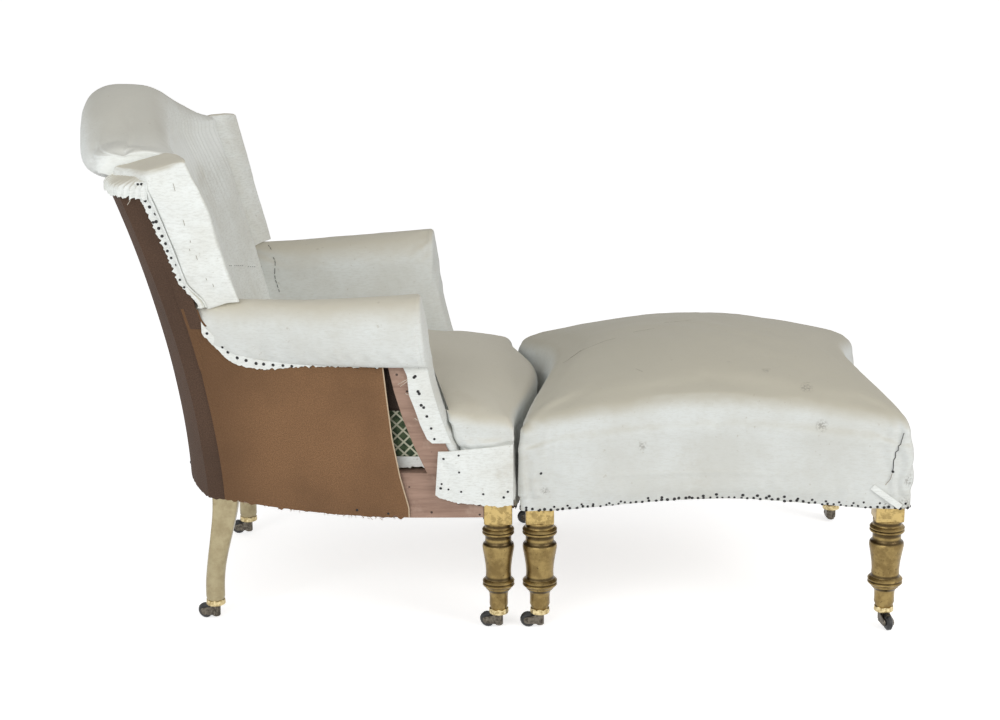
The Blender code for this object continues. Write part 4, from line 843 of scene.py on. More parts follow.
def lay_seat(x, y, level):
    i, j = cell(x, SEAT_CELLS_X), cell(y, SEAT_CELLS_Y)
    along = seat_x_places[abs(i)] * (1 if i > 0 else -1)
    py = seat_y_places[abs(j)] * (1 if j > 0 else -1)
    along, py = rounded(along, py, 1.0, SEAT_HALF, 0.012) if along > 0 else (along, py)
    y0 = py
    z = 0.37
    for _ in range(3):
        rear = inside_back_x(min(abs(y0) / back_half(z), 1.0), z) + SOFT_GAP
        front = seat_bow_x(y0)
        px = mix(rear, front, (along + 1) / 2)
        ear_x = arm_front_x(max(z, 0.25)) + SOFT_GAP
        narrow = arm_inner_y(px, z) - SOFT_GAP
        wide = mix(narrow, SEAT_HALF, ease(ear_x, ear_x + 0.004, px))
        y0 = py * wide / SEAT_HALF
        drop = SEAT_SHOULDER * (1 - cos(seat_x_turns[abs(i)]) * cos(seat_y_turns[abs(j)]))
        top = seat_top(px, y0) - drop
        share = min(level / SEAT_BORDER, 1.0)
        in_front = ease(-0.10, -0.07, px)
        hem = mix(0.2145, 0.2440 + 0.002 * wavy(px, y0, 0.0, 60.0), ease(0.275, 0.295, abs(y0)))
        low = mix(0.3006, hem, in_front)
        z = mix(top, low, share)
    if level > SEAT_BORDER:
        drawn = 0.0043
        z = low if level == SEAT_BORDER + 1 else 0.3004 + 0.003 * (1 - in_front)
    else:
        drawn = 0.003 * sin(pi * min(share * 1.1, 1.0)) * in_front
    if level == SEAT_BORDER + 3:
        return px * 0.93 - 0.02, y0 * 0.93, 0.3004
    if abs(j) * seat_x_places[-1] / SEAT_CELLS_Y >= abs(i) / SEAT_CELLS_X:
        return px, y0 - drawn * (1 if y0 > 0 else -1), z
    return px - drawn * (1 if i > 0 else -1), y0, z


co = points_of(seat_cover)
levels = np.rint(-co[:, 2]).astype(int)
laid = np.array([lay_seat(x, y, level) for (x, y, _), level in zip(co, levels)])
set_points(seat_cover, laid)
held_back = (laid[:, 0] < -0.115) & (levels > 0)
plump(seat_cover, np.nonzero((levels >= SEAT_BORDER - 1) | held_back)[0], 0.0028)
apply_modifier(seat_cover, "SUBSURF", levels=1, render_levels=1)
close_rim(seat_cover)

# %% Seams and creases in the seat
BORDER_SEAM = [(-0.083, 0.3345), (-0.047, 0.3368), (-0.013, 0.3402), (0.028, 0.3455)]


def seat_crease(x, y, z, nx, ny, nz):
    depth = 0.0009 * wavy(x, y, z, 15.0) + 0.0004 * wavy(x, y, z, 55.0)
    if abs(y) > 0.29 and x > -0.095:
        seam = np.interp(x, [p[0] for p in BORDER_SEAM], [p[1] for p in BORDER_SEAM])
        depth -= 0.0020 * exp(-((z - seam) / 0.0028) ** 2)
        depth += 0.0012 * exp(-((z - seam - 0.007) / 0.006) ** 2)
        pull = atan2(seam - z, x + 0.083)
        away = sqrt((x + 0.083) ** 2 + (z - seam) ** 2)
        if z < seam:
            depth += 0.0012 * sin(14 * pull + 3 * wavy(x, y, z, 20.0)) * exp(-away / 0.05) * ease(0.0, 0.012, away)
    elif x > 0.0 and nx > 0.5:
        depth -= 0.0014 * exp(-((z - 0.349) / 0.0028) ** 2)
    if abs(ny) > 0.8 and z < 0.24:
        depth += 0.0008 * sin(260 * x + 3 * wavy(x, y, z, 30.0))
    return depth


press(seat_cover, seat_crease)
set_points(seat_cover, points_of(seat_cover) + (CHAIR_X, 0, 0))
smooth(seat_cover, 60)
dress(seat_cover, CALICO)
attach(seat_cover, "chair")
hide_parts("chair_seat_cushion")

# %% [markdown]
# ## The back and its roll
# The inside back runs up from the seat, over the crest, and down behind as a fat roll that is tacked to
# the outside of the frame. One closed line is drawn for each place across the back, and the lines are
# joined as a rolled-up grid. At each end the last lines close down on the middle of the stuffing, and
# they round over more at the roll than between the wings.

# %% Helper that rolls a table of points into a closed form
def rolled(name, table):
    """A grid laid on closed lines, with its long seam and its end points merged."""
    table = np.asarray(table, float)
    table = np.concatenate([table, table[:, :1]], axis=1)
    piece = grid_from(name, table)
    in_edit(piece, merge, bpy.ops.mesh.dissolve_degenerate, outward)
    return piece


def end_lines(ring, target, along, radius, dome=0.003, turns=5, inner=6, most=1.0):
    """Lines that close an end: round over by a radius, then run in to the target points."""
    lines = []
    ring, target, radius = np.asarray(ring), np.asarray(target), np.asarray(radius).reshape(-1, 1)
    gap = np.linalg.norm(target - ring, axis=1, keepdims=True)
    toward = (target - ring) / np.maximum(gap, 1e-9)
    for k in range(1, turns + 1):
        angle = pi / 2 * k / turns
        inward = np.minimum(np.minimum(radius, most) * (1 - cos(angle)), gap * 0.9)
        lines.append(ring + toward * inward + np.asarray(along) * radius * sin(angle))
    last = lines[-1]
    goal = target + np.asarray(along) * (radius + dome)
    for k in range(1, inner + 1):
        lines.append(last + (goal - last) * (k / inner))
    return lines


# %% Lines of the back
FRONT_COUNT, ROLL_COUNT, REAR_COUNT = 46, 56, 34


def roll_point(share, angle):
    half_height = 0.070 - 0.044 * share ** 2
    centre_x = -0.656 + 0.040 * share ** 2
    centre_z = 0.928 - 0.078 * abs(share) ** 1.3 - half_height
    depth = 0.078 if cos(angle) > 0 else 0.083 - 0.020 * share ** 2
    power = 2 / 2.6
    x = abs(cos(angle)) ** power * (1 if cos(angle) > 0 else -1)
    z = abs(sin(angle)) ** power * (1 if sin(angle) > 0 else -1)
    return centre_x + depth * x, centre_z + half_height * z


def rounding(x, z):
    """How far in from its end the back is rounded: little between the wings, and most at the rear of the roll."""
    return mix(0.0015, mix(0.030, 0.066, ease(-0.585, -0.645, x)), ease(0.785, 0.870, z))


def back_line(share):
    """One closed line of the back: up the front, over the roll and down the rear."""
    foot = roll_point(share, -0.10 * pi)
    front = [(inside_back_x(share, z), z) for z in np.linspace(PAD_LOW, foot[1] - 0.035, 40)]
    roll = [roll_point(share, pi * a) for a in np.linspace(-0.05, 1.44, 90)]
    end_x, end_z = roll[-1]
    rear = []
    for z in np.linspace(end_z - 0.012, PAD_LOW, 40):
        rear.append((outside_back_x(share * back_half(z), z) + 0.005, z))
    line = [*even(front + [roll[0]], FRONT_COUNT)[:-1], *even(roll, ROLL_COUNT), *even([roll[-1]] + rear, REAR_COUNT)[1:]]
    return np.array([(x, share * (back_half(z) - rounding(x, z)), z) for x, z in line])


def back_target(ring):
    """For each point of a line, the middle of the stuffing at its height."""
    front = ring[:FRONT_COUNT - 1]
    rear = ring[FRONT_COUNT - 1 + ROLL_COUNT:]
    centre = ring[FRONT_COUNT - 1:FRONT_COUNT - 1 + ROLL_COUNT].mean(0)
    goal = []
    for point in ring:
        z = min(point[2], centre[2])
        front_x = np.interp(z, front[:, 2], front[:, 0])
        rear_x = np.interp(-z, -rear[:, 2], rear[:, 0])
        low = (front_x + rear_x) / 2
        x = mix(low, centre[0], ease(centre[2] - 0.09, centre[2], z))
        goal.append((x, point[1], z))
    return np.array(goal)


# %% Build the back
across = np.linspace(-1, 1, 75)
rings = [back_line(share) for share in across]
round_over = np.array([rounding(x, z) for x, _, z in rings[0]])
low_end = end_lines(rings[0], back_target(rings[0]), (0, -1, 0), round_over, 0.0, turns=9, most=0.036)[::-1]
high_end = end_lines(rings[-1], back_target(rings[-1]), (0, 1, 0), round_over, 0.0, turns=9, most=0.036)
back_cover = rolled("back_cover", low_end + rings + high_end)
co = points_of(back_cover)
pinned = np.nonzero((co[:, 2] < 0.33) | (np.abs(co[:, 1]) > np.array([back_half(z) for z in co[:, 2]]) - 0.004))[0]
plump(back_cover, pinned, 0.003)
apply_modifier(back_cover, "SUBSURF", levels=1, render_levels=1)


# %% Pleats and wrinkles in the back
def back_crease(x, y, z, nx, ny, nz):
    depth = 0.0009 * wavy(x, y, z, 12.0) + 0.0004 * wavy(x, y, z, 50.0)
    if nx > 0.4:
        upper = ease(0.66, 0.76, z) * ease(0.88, 0.84, z) * ease(-0.02, 0.07, y)
        drift = y + 0.10 * (z - 0.76) + 0.010 * wavy(x, y, z, 9.0)
        depth += 0.0012 * upper * sin(2 * pi * drift / 0.019) * (0.6 + 0.4 * sin(2 * pi * drift / 0.071))
        near = ease(0.70, 0.78, z) * ease(0.87, 0.83, z) * ease(-0.05, -0.11, y)
        depth += 0.0008 * near * sin(2 * pi * (y - 0.1 * z) / 0.022)
    behind = ease(0.10, -0.35, nx) * ease(-0.60, -0.66, x) * ease(0.17, 0.225, abs(y))
    if behind > 0 and z > 0.79:
        turn = degrees(atan2(z - 0.835, -(x + 0.63)))
        depth -= 0.0016 * behind * (0.5 + 0.5 * sin(turn * 0.20 + 2.2 * wavy(x, y, z, 26.0))) ** 3
        depth -= 0.0010 * behind * (0.5 + 0.5 * sin(turn * 0.62 + 3 * wavy(x, y, z, 60.0))) ** 2
    return depth


press(back_cover, back_crease)
set_points(back_cover, points_of(back_cover) + (CHAIR_X, 0, 0))
smooth(back_cover, 60)
dress(back_cover, BACK_CALICO)
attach(back_cover, "chair")
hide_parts("chair_back_pad")


# %% [markdown]
# ## The wings
# Each wing is a shallow pad on the front and outside of the back post. Its plan is splayed, so that the
# front runs back towards the sitter, and its top is a flat facet that falls to the rear and outside.
# The plan is drawn at each height, and the corners of the plan are rounded.

# %% Build the wings
def wing_front_x(z):
    fall = max(0.83 - z, 0.0)
    return -0.508 + 0.20 * fall + 0.20 * fall ** 2


def wing_top_z(x, y):
    return 0.840 - 0.27 * (-0.551 - x) - 0.30 * (y - back_half(0.840))


def soft_corners(corners, radius, per_corner=5, per_side=5):
    """A closed plan with each corner rounded, and the same number of points for every plan."""
    out = []
    count = len(corners)
    for i in range(count):
        before, here, after = (Vector(corners[(i + k) % count]) for k in (-1, 0, 1))
        cut_in = min(radius, (before - here).length * 0.45)
        cut_out = min(radius, (after - here).length * 0.45)
        a = here + (before - here).normalized() * cut_in
        b = here + (after - here).normalized() * cut_out
        for k in range(per_corner):
            t = k / (per_corner - 1)
            out.append(a * (1 - t) ** 2 + here * 2 * t * (1 - t) + b * t * t)
        following = Vector(corners[(i + 2) % count])
        next_cut = after + (here - after).normalized() * min(radius, (here - after).length * 0.45)
        for k in range(1, per_side):
            out.append(b.lerp(next_cut, k / per_side))
    return [(p.x, p.y) for p in out]


def arm_top_z(x, y):
    """Height of the arm's rounded top, for the foot of the wing to stand on."""
    rear_x, front_x = post_front_x(0.530), arm_front_x(0.530)
    share = min(max((x - rear_x) / (front_x - rear_x), 0.0), 1.0)
    inner, reach = arm_inner_y(x, 0.530), max(mix(rear_half(0.530) + SOFT_GAP, 0.352, sin(pi / 2 * share)),
                                              outside_y(x, 0.530) + 0.004)
    off = min(abs(y - (inner + reach) / 2) / ((reach - inner) / 2), 1.0)
    return 0.530 + (0.060 + 0.016 * share ** 2) * (1 - off ** 2.4) ** (1 / 2.4)


def wing_rear_x(z):
    return post_front_x(min(z, 0.7868)) + SOFT_GAP + 0.019 * ease(0.630, 0.588, z)


def wing_outer_y(z):
    return rear_half(z) + 0.012 * ease(0.545, 0.640, z) + 0.0015


def wing_plan(z, fuller):
    front = wing_front_x(z) + fuller * ease(0.840, 0.745, z)
    inner, outer = back_half(z) + 0.0016, wing_outer_y(z)
    rear_out = wing_rear_x(z)
    rear_in = mix(rear_out, outside_back_x(back_half(0.7868), 0.7868) + 0.005, ease(0.774, 0.7868, z))
    corners = [(rear_in, inner), (front - 0.040, inner), (front - 0.014, mix(inner, outer, 0.35)),
               (front, mix(inner, outer, 0.80)), (front, outer), (rear_out, outer)]
    return soft_corners(corners, 0.007)


def wing_table(side, fuller):
    foot = [(x, y, max(arm_top_z(x, y) + 0.0008, 0.576 + 0.30 * min(max(x + 0.50, 0.0), 0.05)))
            for x, y in wing_plan(0.592, fuller)]
    lines = []
    for share in np.linspace(0, 1, 9):
        heights = [mix(z, 0.635, share) for _, _, z in foot]
        lines.append(np.array([(*wing_plan(z, fuller)[i], z) for i, z in enumerate(heights)]))
    for z in [*np.linspace(0.640, 0.770, 36), *np.linspace(0.774, 0.7868, 6)]:
        lines.append(np.array([(x, y, z) for x, y in wing_plan(z, fuller)]))
    for share in np.linspace(0.15, 1.0, 8):
        line = []
        for i, (x, y) in enumerate(wing_plan(0.815, fuller)):
            z = mix(0.7868, wing_top_z(x, y) - 0.009, share)
            line.append((*wing_plan(max(z, 0.7868), fuller)[i], z))
        lines.append(np.array(line))
    top = lines[-1]
    lines += end_lines(top, np.tile(top.mean(0), (len(top), 1)), (0, 0, 1), np.full(len(top), 0.009), 0.0, 6, 9)
    low = lines[0]
    goal = np.tile(low.mean(0), (len(low), 1))
    goal[:, 2] = arm_top_z(goal[0, 0], goal[0, 1]) + 0.001
    closing = end_lines(low, goal, (0, 0, 0), np.full(len(low), 0.001), 0.0, 1, 4)[::-1]
    table = np.array(closing + lines)
    table[:, :, 1] *= side
    return table


def wing_crease(x, y, z, nx, ny, nz):
    depth = 0.0008 * wavy(x, y, z, 18.0, 3.0) + 0.0004 * wavy(x, y, z, 70.0)
    if abs(ny) > 0.7:
        depth += 0.0006 * sin(2 * pi * (x * 0.4 + z) / 0.055 + 4 * wavy(x, y, z, 9.0))
    if nz > 0.6:
        depth += 0.0008 * wavy(x, y, z, 45.0, 9.0)
    return depth


for side, word in ((-1, "right"), (1, "left")):
    wing = rolled(word + "_wing_cover", wing_table(side, 0.017 if side < 0 else 0.004))
    co = points_of(wing)
    plump(wing, np.nonzero((co[:, 2] > 0.79) | (np.abs(co[:, 1]) < np.array([back_half(z) + 0.004 for z in co[:, 2]]))
                           | (co[:, 2] < 0.61))[0], 0.002, 3.0)
    apply_modifier(wing, "SUBSURF", levels=1, render_levels=1)
    press(wing, wing_crease)
    set_points(wing, points_of(wing) + (CHAIR_X, 0, 0))
    smooth(wing, 60)
    dress(wing, WING_CALICO)
    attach(wing, "chair")
    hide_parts("chair_" + word + "_wing_pad")

# %% [markdown]
# ## The arms
# An arm is a padded inner face that rolls over the arm rail and is tacked below it. Seen from the
# front its section is a flag: a thin upright with a fat roll to the outside. At the front the pad
# turns round the arm post, so the last sections fill the whole width.

# %% Lines of an arm
ARM_CENTRE_Z = 0.530


def arm_reach(share, x):
    """How far out the arm's roll goes: always a little beyond the rail under it."""
    return max(mix(rear_half(ARM_CENTRE_Z) + SOFT_GAP, 0.352, sin(pi / 2 * share)), outside_y(x, ARM_CENTRE_Z) + 0.004)


def arm_section(share, full):
    """Section of an arm at a share of its length. full closes the space that the post stands in."""
    def x_at(z):
        return mix(post_front_x(z) + SOFT_GAP, arm_front_x(z), share)
    top_x = x_at(ARM_CENTRE_Z)
    rise = ARM_UNDER + ARM_HEIGHT - ARM_CENTRE_Z + 0.016 * share ** 2
    inner = arm_inner_y(top_x, ARM_CENTRE_Z)
    reach = arm_reach(share, top_x)
    middle_y = (inner + reach) / 2
    ledge = tack_line_z(top_x)

    def outer_at(z):
        if z >= ARM_CENTRE_Z:
            return middle_y + (reach - middle_y) * max(1 - ((z - ARM_CENTRE_Z) / rise) ** 2.4, 0.0) ** (1 / 2.4)
        return middle_y + (reach - middle_y) * (0.74 + 0.26 * sqrt(max(1 - ((ARM_CENTRE_Z - z) / 0.0425) ** 2, 0.0)))

    def wall_at(z):
        x = x_at(z)
        if full:
            return outside_y(x, z) - 0.0008
        return outside_y(x, z) - SHEET - SOFT_GAP - 0.0323
    face = [(arm_inner_y(x_at(z), z), z) for z in np.linspace(PAD_LOW, ARM_CENTRE_Z, 30)]
    over = []
    for angle in np.linspace(pi, 0, 60):
        half = (middle_y - inner) if cos(angle) < 0 else (reach - middle_y)
        over.append((middle_y + half * abs(cos(angle)) ** (2 / 2.4) * (1 if cos(angle) > 0 else -1),
                     ARM_CENTRE_Z + rise * sin(angle) ** (2 / 2.4)))
    over = [p for p in over if p[1] >= ledge or p[0] < middle_y]
    under = [(outer_at(z), z) for z in np.linspace(max(ARM_CENTRE_Z, ledge), ledge, 12)]
    ledge_line = [under[-1], (wall_at(ledge), ledge)]
    wall = [(wall_at(z), z) for z in np.linspace(ledge, PAD_LOW, 20)]
    foot = [wall[-1], face[0]]
    parts = [even(face, 22)[:-1], even(over, 34)[:-1], even(under, 9)[:-1], even(ledge_line, 8)[:-1],
             even(wall, 20)[:-1], even(foot, 6)[:-1]]
    line = np.concatenate(parts)
    return np.array([(x_at(z), y, z) for y, z in line])


def arm_target(ring):
    """The middle of the arm's stuffing for each point of its front line."""
    goal = []
    centre_y = (ring[:, 1].min() + ring[ring[:, 2] > 0.50][:, 1].max()) / 2
    for x, y, z in ring:
        level = min(z, 0.545)
        low_y = (arm_inner_y(x, level) + outside_y(x, level)) / 2
        goal.append((arm_front_x(level), mix(low_y, centre_y, ease(0.44, 0.52, level)), level))
    return np.array(goal)


# %% Build the arms
def arm_table(side):
    post = 0.965
    lines = [arm_section(share, False) for share in np.linspace(0.0, post, 58)]
    lines += [arm_section(post + 0.0005, True), arm_section(0.982, True)]
    front = arm_section(1.0, True)
    radius = np.full(len(front), 0.007)
    front[:, 0] -= radius
    lines.append(front)
    lines += end_lines(front, arm_target(front), (1, 0, 0), radius, 0.0, 4, 6)
    table = np.array(lines)
    table[:, :, 1] *= side
    return table


def arm_crease(x, y, z, nx, ny, nz):
    depth = 0.0009 * wavy(x, y, z, 16.0, 5.0) + 0.0004 * wavy(x, y, z, 60.0)
    if abs(y) > 0.27 and z > 0.5:
        depth += 0.0007 * sin(2 * pi * (x + 0.35 * z) / 0.034 + 3 * wavy(x, y, z, 12.0)) * ease(0.53, 0.50, z)
    if z < 0.40:
        depth += 0.0007 * sin(2 * pi * z / 0.024 + 3 * wavy(x, y, z, 20.0))
    return depth


for side, word in ((-1, "right"), (1, "left")):
    arm = rolled(word + "_arm_cover", arm_table(side))
    co = points_of(arm)
    wall = (np.abs(co[:, 1]) > np.array([arm_inner_y(x, z) + 0.012 for x, _, z in co])) & (co[:, 2] < 0.492)
    rear = co[:, 0] < -0.50
    plump(arm, np.nonzero(wall | rear | (co[:, 2] < 0.31))[0], 0.003, 3.0)
    apply_modifier(arm, "SUBSURF", levels=1, render_levels=1)
    close_rim(arm)
    press(arm, arm_crease)
    set_points(arm, points_of(arm) + (CHAIR_X, 0, 0))
    smooth(arm, 60)
    dress(arm, CALICO)
    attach(arm, "chair")
    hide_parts("chair_" + word + "_arm_pad")


# %% [markdown]
# ## Hessian outsides
# The outside back is one sheet that is tacked under the roll and under the back rail, and wraps a few
# centimetres round each corner. Each outside arm is another sheet. Its rear edge is folded under and lies
# over the wrap, its front edge is the woven selvedge, and its lower edge has frayed.

# %% Helpers for sheets of cloth
def cloth_piece(name, table, finish, thick=0.0010, body="chair", ragged=0.0, seed=0.0):
    """A thin sheet laid on a table of points, closed with its own thickness, and listed with its size."""
    table = np.array(table, float)
    if ragged:
        table = tear(table, ragged, seed)
    piece = grid_from(name, table)
    length, width = piece["size"]
    apply_modifier(piece, "SOLIDIFY", thickness=thick, offset=0.0)
    in_edit(piece, outward)
    smooth(piece, 40)
    dress(piece, finish)
    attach(piece, body)
    SHEETS.append((name, round(width * 1000), round(length * 1000)))
    return piece


SHEETS = []


def tear(table, reach, seed):
    """Makes the first row of a table uneven, as a torn or frayed edge is, and eases it into the cloth."""
    out = table.copy()
    rows = len(table)
    for c in range(table.shape[1]):
        p, q = Vector(table[0, c]), Vector(table[min(3, rows - 1), c])
        outwards = (p - q).normalized()
        pull = reach * (noise.noise(Vector((c * 0.37 + seed, seed, 0))) + 0.6 * noise.noise(Vector((c * 1.3, seed, 4))))
        for r in range(rows):
            fade = exp(-r / max(rows / 5, 1.0))
            out[r, c] += np.array(outwards) * pull * fade
    return out


# %% Build the outside back
def wrap_point(share, z):
    """A place on the outside back: across it while the share is within one, and then round the corner."""
    edge = rear_half(z) - 0.0006
    if abs(share) <= 1:
        return outside_back_x(share * edge, z) - 0.0002, share * edge, z
    x = corner_x(z) + (abs(share) - 1) * 0.26
    return x, (outside_y(x, z) - 0.0006) * (1 if share > 0 else -1), z


def outside_back_table():
    table = []
    for row in np.linspace(0, 1, 61):
        line = []
        for share in np.linspace(-1.14, 1.14, 97):
            inside = min(abs(share), 1.0)
            half_height = 0.070 - 0.044 * inside ** 2
            high = 0.928 - 0.078 * inside ** 1.3 - 2 * half_height + 0.002
            high = mix(high, 0.7820, ease(0.90, 0.98, abs(share)))
            x, y, z = wrap_point(share, mix(0.2340, high, row))
            ripple = 0.0012 * wavy(x, y, z, 8.0, 2.0)
            line.append((x - ripple, y, z))
        table.append(line)
    return np.array(table) + (CHAIR_X, 0, 0)


outside_back = cloth_piece("outside_back_hessian", outside_back_table(), BACK_HESSIAN,
                           0.0012, ragged=0.004, seed=3.0)
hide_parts("chair_outside_back")


# %% Build the outside arms
SELVEDGE = [(0.231, -0.1518), (0.2883, -0.166), (0.3593, -0.1781), (0.4295, -0.1851), (0.4886, -0.1905)]


def outside_arm_table(side):
    """The selvedge runs down the open side of the arm, and the folded edge down behind the post."""
    table = []
    for row in np.linspace(0, 1, 55):
        line = []
        for column in np.linspace(1, 0, 85):
            z = 0.36
            for _ in range(3):
                rear = corner_x(z) + 0.028
                x = mix(rear, np.interp(z, [p[0] for p in SELVEDGE], [p[1] for p in SELVEDGE]), column)
                top = tack_line_z(x) + 0.003 + 0.022 * ease(-0.41, -0.48, x)
                z = mix(rail_bottom(x) + 0.0015, top, row)
            fold = 0.0012 * exp(-(column / 0.02) ** 2)
            y = outside_y(x, z) + 0.0004 + fold + 0.0010 * wavy(x, z, 0.0, 11.0, side) * sin(pi * min(row * 1.2, 1.0))
            line.append((x, y * side, z))
        table.append(line)
    return np.array(table) + (CHAIR_X, 0, 0)


def post_strip_table(side):
    """Hessian up the outside of the back post, from the arm to the wing's facet."""
    table = []
    for row in np.linspace(0, 1, 31):
        z = mix(0.545, 0.783, row)
        line = []
        for column in np.linspace(0, 1, 13):
            rear = corner_x(z) + 0.026
            x = mix(rear, post_front_x(z) + 0.004, column)
            y = outside_y(x, z) + 0.0008 + 0.0008 * wavy(x, z, 0.0, 14.0, 7.0)
            line.append((x, y * side, z))
        table.append(line)
    return np.array(table) + (CHAIR_X, 0, 0)


for side, word in ((-1, "right"), (1, "left")):
    panel = cloth_piece(word + "_arm_hessian", outside_arm_table(side), HESSIAN,
                        0.0011,
                        ragged=0.005, seed=side * 2.0)
    strip = cloth_piece(word + "_post_hessian", post_strip_table(side), BACK_HESSIAN,
                        0.0010)
    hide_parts("chair_" + word + "_outside_arm")


# %% [markdown]
# ## Inside the open arm
# Between the selvedge and the bare post the arm can be seen into. There is a dark lining above, and below
# it a scrap of an old green cover with a lattice, with a torn piece of calico at its foot.

# %% Build the cloths in the arm
def arm_cloth(side, low, high, rear, front, out, wave):
    """A flat of cloth that hangs in the arm, between two heights and two places along it."""
    table = []
    for row in np.linspace(0, 1, 25):
        line = []
        for column in np.linspace(0, 1, 23):
            z = mix(low, high, row)
            x = mix(rear, front, column) - 0.03 * (z - 0.40)
            y = outside_y(x, z) - out + wave * wavy(x, z, 0.0, 22.0, 6.0)
            line.append((x, y * side, z))
        table.append(line)
    return np.array(table) + (CHAIR_X, 0, 0)


for side, word in ((-1, "right"), (1, "left")):
    cloth_piece(word + "_arm_lining", arm_cloth(side, 0.305, 0.486, -0.26, -0.120, 0.0325, 0.0012), LINING)
    cloth_piece(word + "_old_cover", arm_cloth(side, 0.302, 0.400, -0.225, -0.118, 0.0290, 0.0016), OLD_COVER,
                ragged=0.003, seed=8.0)
    cloth_piece(word + "_torn_scrap", arm_cloth(side, 0.298, 0.318, -0.205, -0.118, 0.0250, 0.0022), STRIP_CALICO,
                ragged=0.006, seed=4.0)


# %% [markdown]
# ## Torn calico strips
# Where the inner cover is turned over the frame and tacked, a strip with a torn edge is left: behind the
# wing and under the roll, along the arm, down the front of the arm post, and along the tacked edges.
# Each strip is a narrow sheet that lies on what is under it, so its points are laid on the same lines as that surface.

# %% Helpers that lay a thing on the surface under it
SEARCHES = {}


def on_surface(piece, point):
    """The nearest place on a piece to a point, with the direction that the surface faces."""
    if piece.name not in SEARCHES:
        mesh = piece.data
        SEARCHES[piece.name] = BVHTree.FromPolygons([v.co for v in mesh.vertices], [f.vertices for f in mesh.polygons])
    place, normal, _, _ = SEARCHES[piece.name].find_nearest(Vector(point))
    return place, normal


def at(points, side):
    return [(x + CHAIR_X, y * side, z) for x, y, z in points]


def ruffle(table, size):
    """Lets a strip stand off unevenly, more at its torn edge than where it is held."""
    rows = len(table)
    for r, line in enumerate(table):
        for c, (x, y, z) in enumerate(line):
            lift = size * (1 - r / rows) * (0.5 + wavy(x, y, z, 55.0, 1.0))
            line[c] = (x, y + lift, z)
    return table


def wing_strip_table():
    """From the torn edge on the post, up over the step, on to the edge of the wing."""
    table = []
    heights = np.linspace(0.800, 0.583, 110)
    for step in range(8):
        line = []
        for z in heights:
            x, outer = wing_rear_x(z), wing_outer_y(z)
            width = mix(0.007, 0.013, ease(0.62, 0.78, z))
            low = outside_y(x - 0.010, z) + 0.0032
            places = [(x - 0.004 - width, low - 0.0008), (x - 0.004 - width * 0.66, low), (x - 0.004 - width * 0.33, low),
                      (x - 0.004, low), (x - 0.0030, mix(low, outer, 0.5)), (x - 0.0016, outer - 0.0006),
                      (x + 0.0005, outer + 0.0012), (x + 0.0030, outer + 0.0013)]
            line.append((*places[step], z))
        table.append(line)
    return ruffle(table, 0.0016)


def under_roll_table():
    """The gathered strip under the roll, round the top of the post."""
    corner, rear = corner_x(0.786), outside_back_x(0.245, 0.786)
    round_post = even([(rear - 0.0085, 0.245), (corner - 0.0125, rear_half(0.786) - 0.008),
                       (corner + 0.003, outside_y(corner, 0.786) + 0.0065), (-0.600, outside_y(-0.60, 0.786) + 0.0055),
                       (-0.572, wing_outer_y(0.786) + 0.0015)], 70)
    cap = even([(-0.618, 0.253), (-0.606, 0.272), (-0.592, 0.295), (-0.570, wing_outer_y(0.79) + 0.001)], 70)
    table = []
    for lean, z in ((0.0, 0.7700), (0.0, 0.7760), (0.0, 0.7820), (0.1, 0.7880), (0.45, 0.7940), (0.8, 0.7990), (1.0, 0.8040)):
        fold = [0.0014 * sin(c * 1.1) * (1 - lean) for c in range(70)]
        table.append([(mix(a[0], b[0], lean) - f, mix(a[1], b[1], lean) + f, z + 0.010 * (1 - c / 69))
                      for c, (a, b, f) in enumerate(zip(round_post, cap, fold))])
    return table


def arm_strip_table():
    """Along the tack line under the arm: wide behind, and nearly nothing at the front."""
    table = []
    for row in np.linspace(0, 1, 6):
        line = []
        for x in np.linspace(-0.497, -0.193, 130):
            top = tack_line_z(x) + 0.004 + 0.016 * ease(-0.44, -0.49, x)
            width = mix(0.006, 0.019, ease(-0.30, -0.44, x))
            z = top - width * (1 - row)
            line.append((x, outside_y(x, z) + 0.0022, z))
        table.append(line)
    return ruffle(table, 0.0014)


# %% Build the strips
WING_EDGE = [(-0.6384, 0.2522, 0.812), (-0.612, 0.276, 0.806), (-0.590, 0.298, 0.802), (-0.578, 0.3055, 0.790),
             (-0.5695, 0.3055, 0.7685), (-0.5609, 0.301, 0.7259), (-0.5512, 0.2956, 0.6742),
             (-0.5365, 0.2934, 0.6397), (-0.5184, 0.292, 0.6051), (-0.503, 0.287, 0.580)]
ARM_EDGE = [(-0.505, 0.286, 0.578), (-0.4784, 0.287, 0.543), (-0.4416, 0.2945, 0.5149), (-0.4078, 0.299, 0.4996),
            (-0.36, 0.307, 0.4905), (-0.3307, 0.313, 0.4885), (-0.2282, 0.330, 0.4885), (-0.135, 0.334, 0.4885)]

for side, word in ((-1, "right"), (1, "left")):
    for kind, table, on, torn in (("_wing_strip", wing_strip_table(), "_wing_cover", 0.0045),
                                  ("_roll_strip", under_roll_table(), "_wing_cover", 0.0060),
                                  ("_arm_strip", arm_strip_table(), "_arm_cover", 0.0035)):
        spread = np.array([at(line, side) for line in table])
        cloth_piece(word + kind, spread, STRIP_CALICO, 0.0009, ragged=torn,
                    seed=side * 5.0)


# %% [markdown]
# The strip that is turned round the arm post hangs free of any pad, so it is laid on the post's own line:
# from the front edge of the arm back over the bare wood, narrowing as it goes down.

# %% Build the strip on the arm post
POST_TEAR = [(0.3485, -0.1092), (0.3574, -0.1192), (0.3839, -0.1306), (0.4103, -0.1386), (0.4366, -0.1482),
             (0.4714, -0.1509), (0.4905, -0.1589)]
BORDER_TEAR = [(-0.108, 0.2560), (-0.100, 0.2500), (-0.0735, 0.2423), (-0.030, 0.2380), (0.0035, 0.2345), (0.0241, 0.2380)]


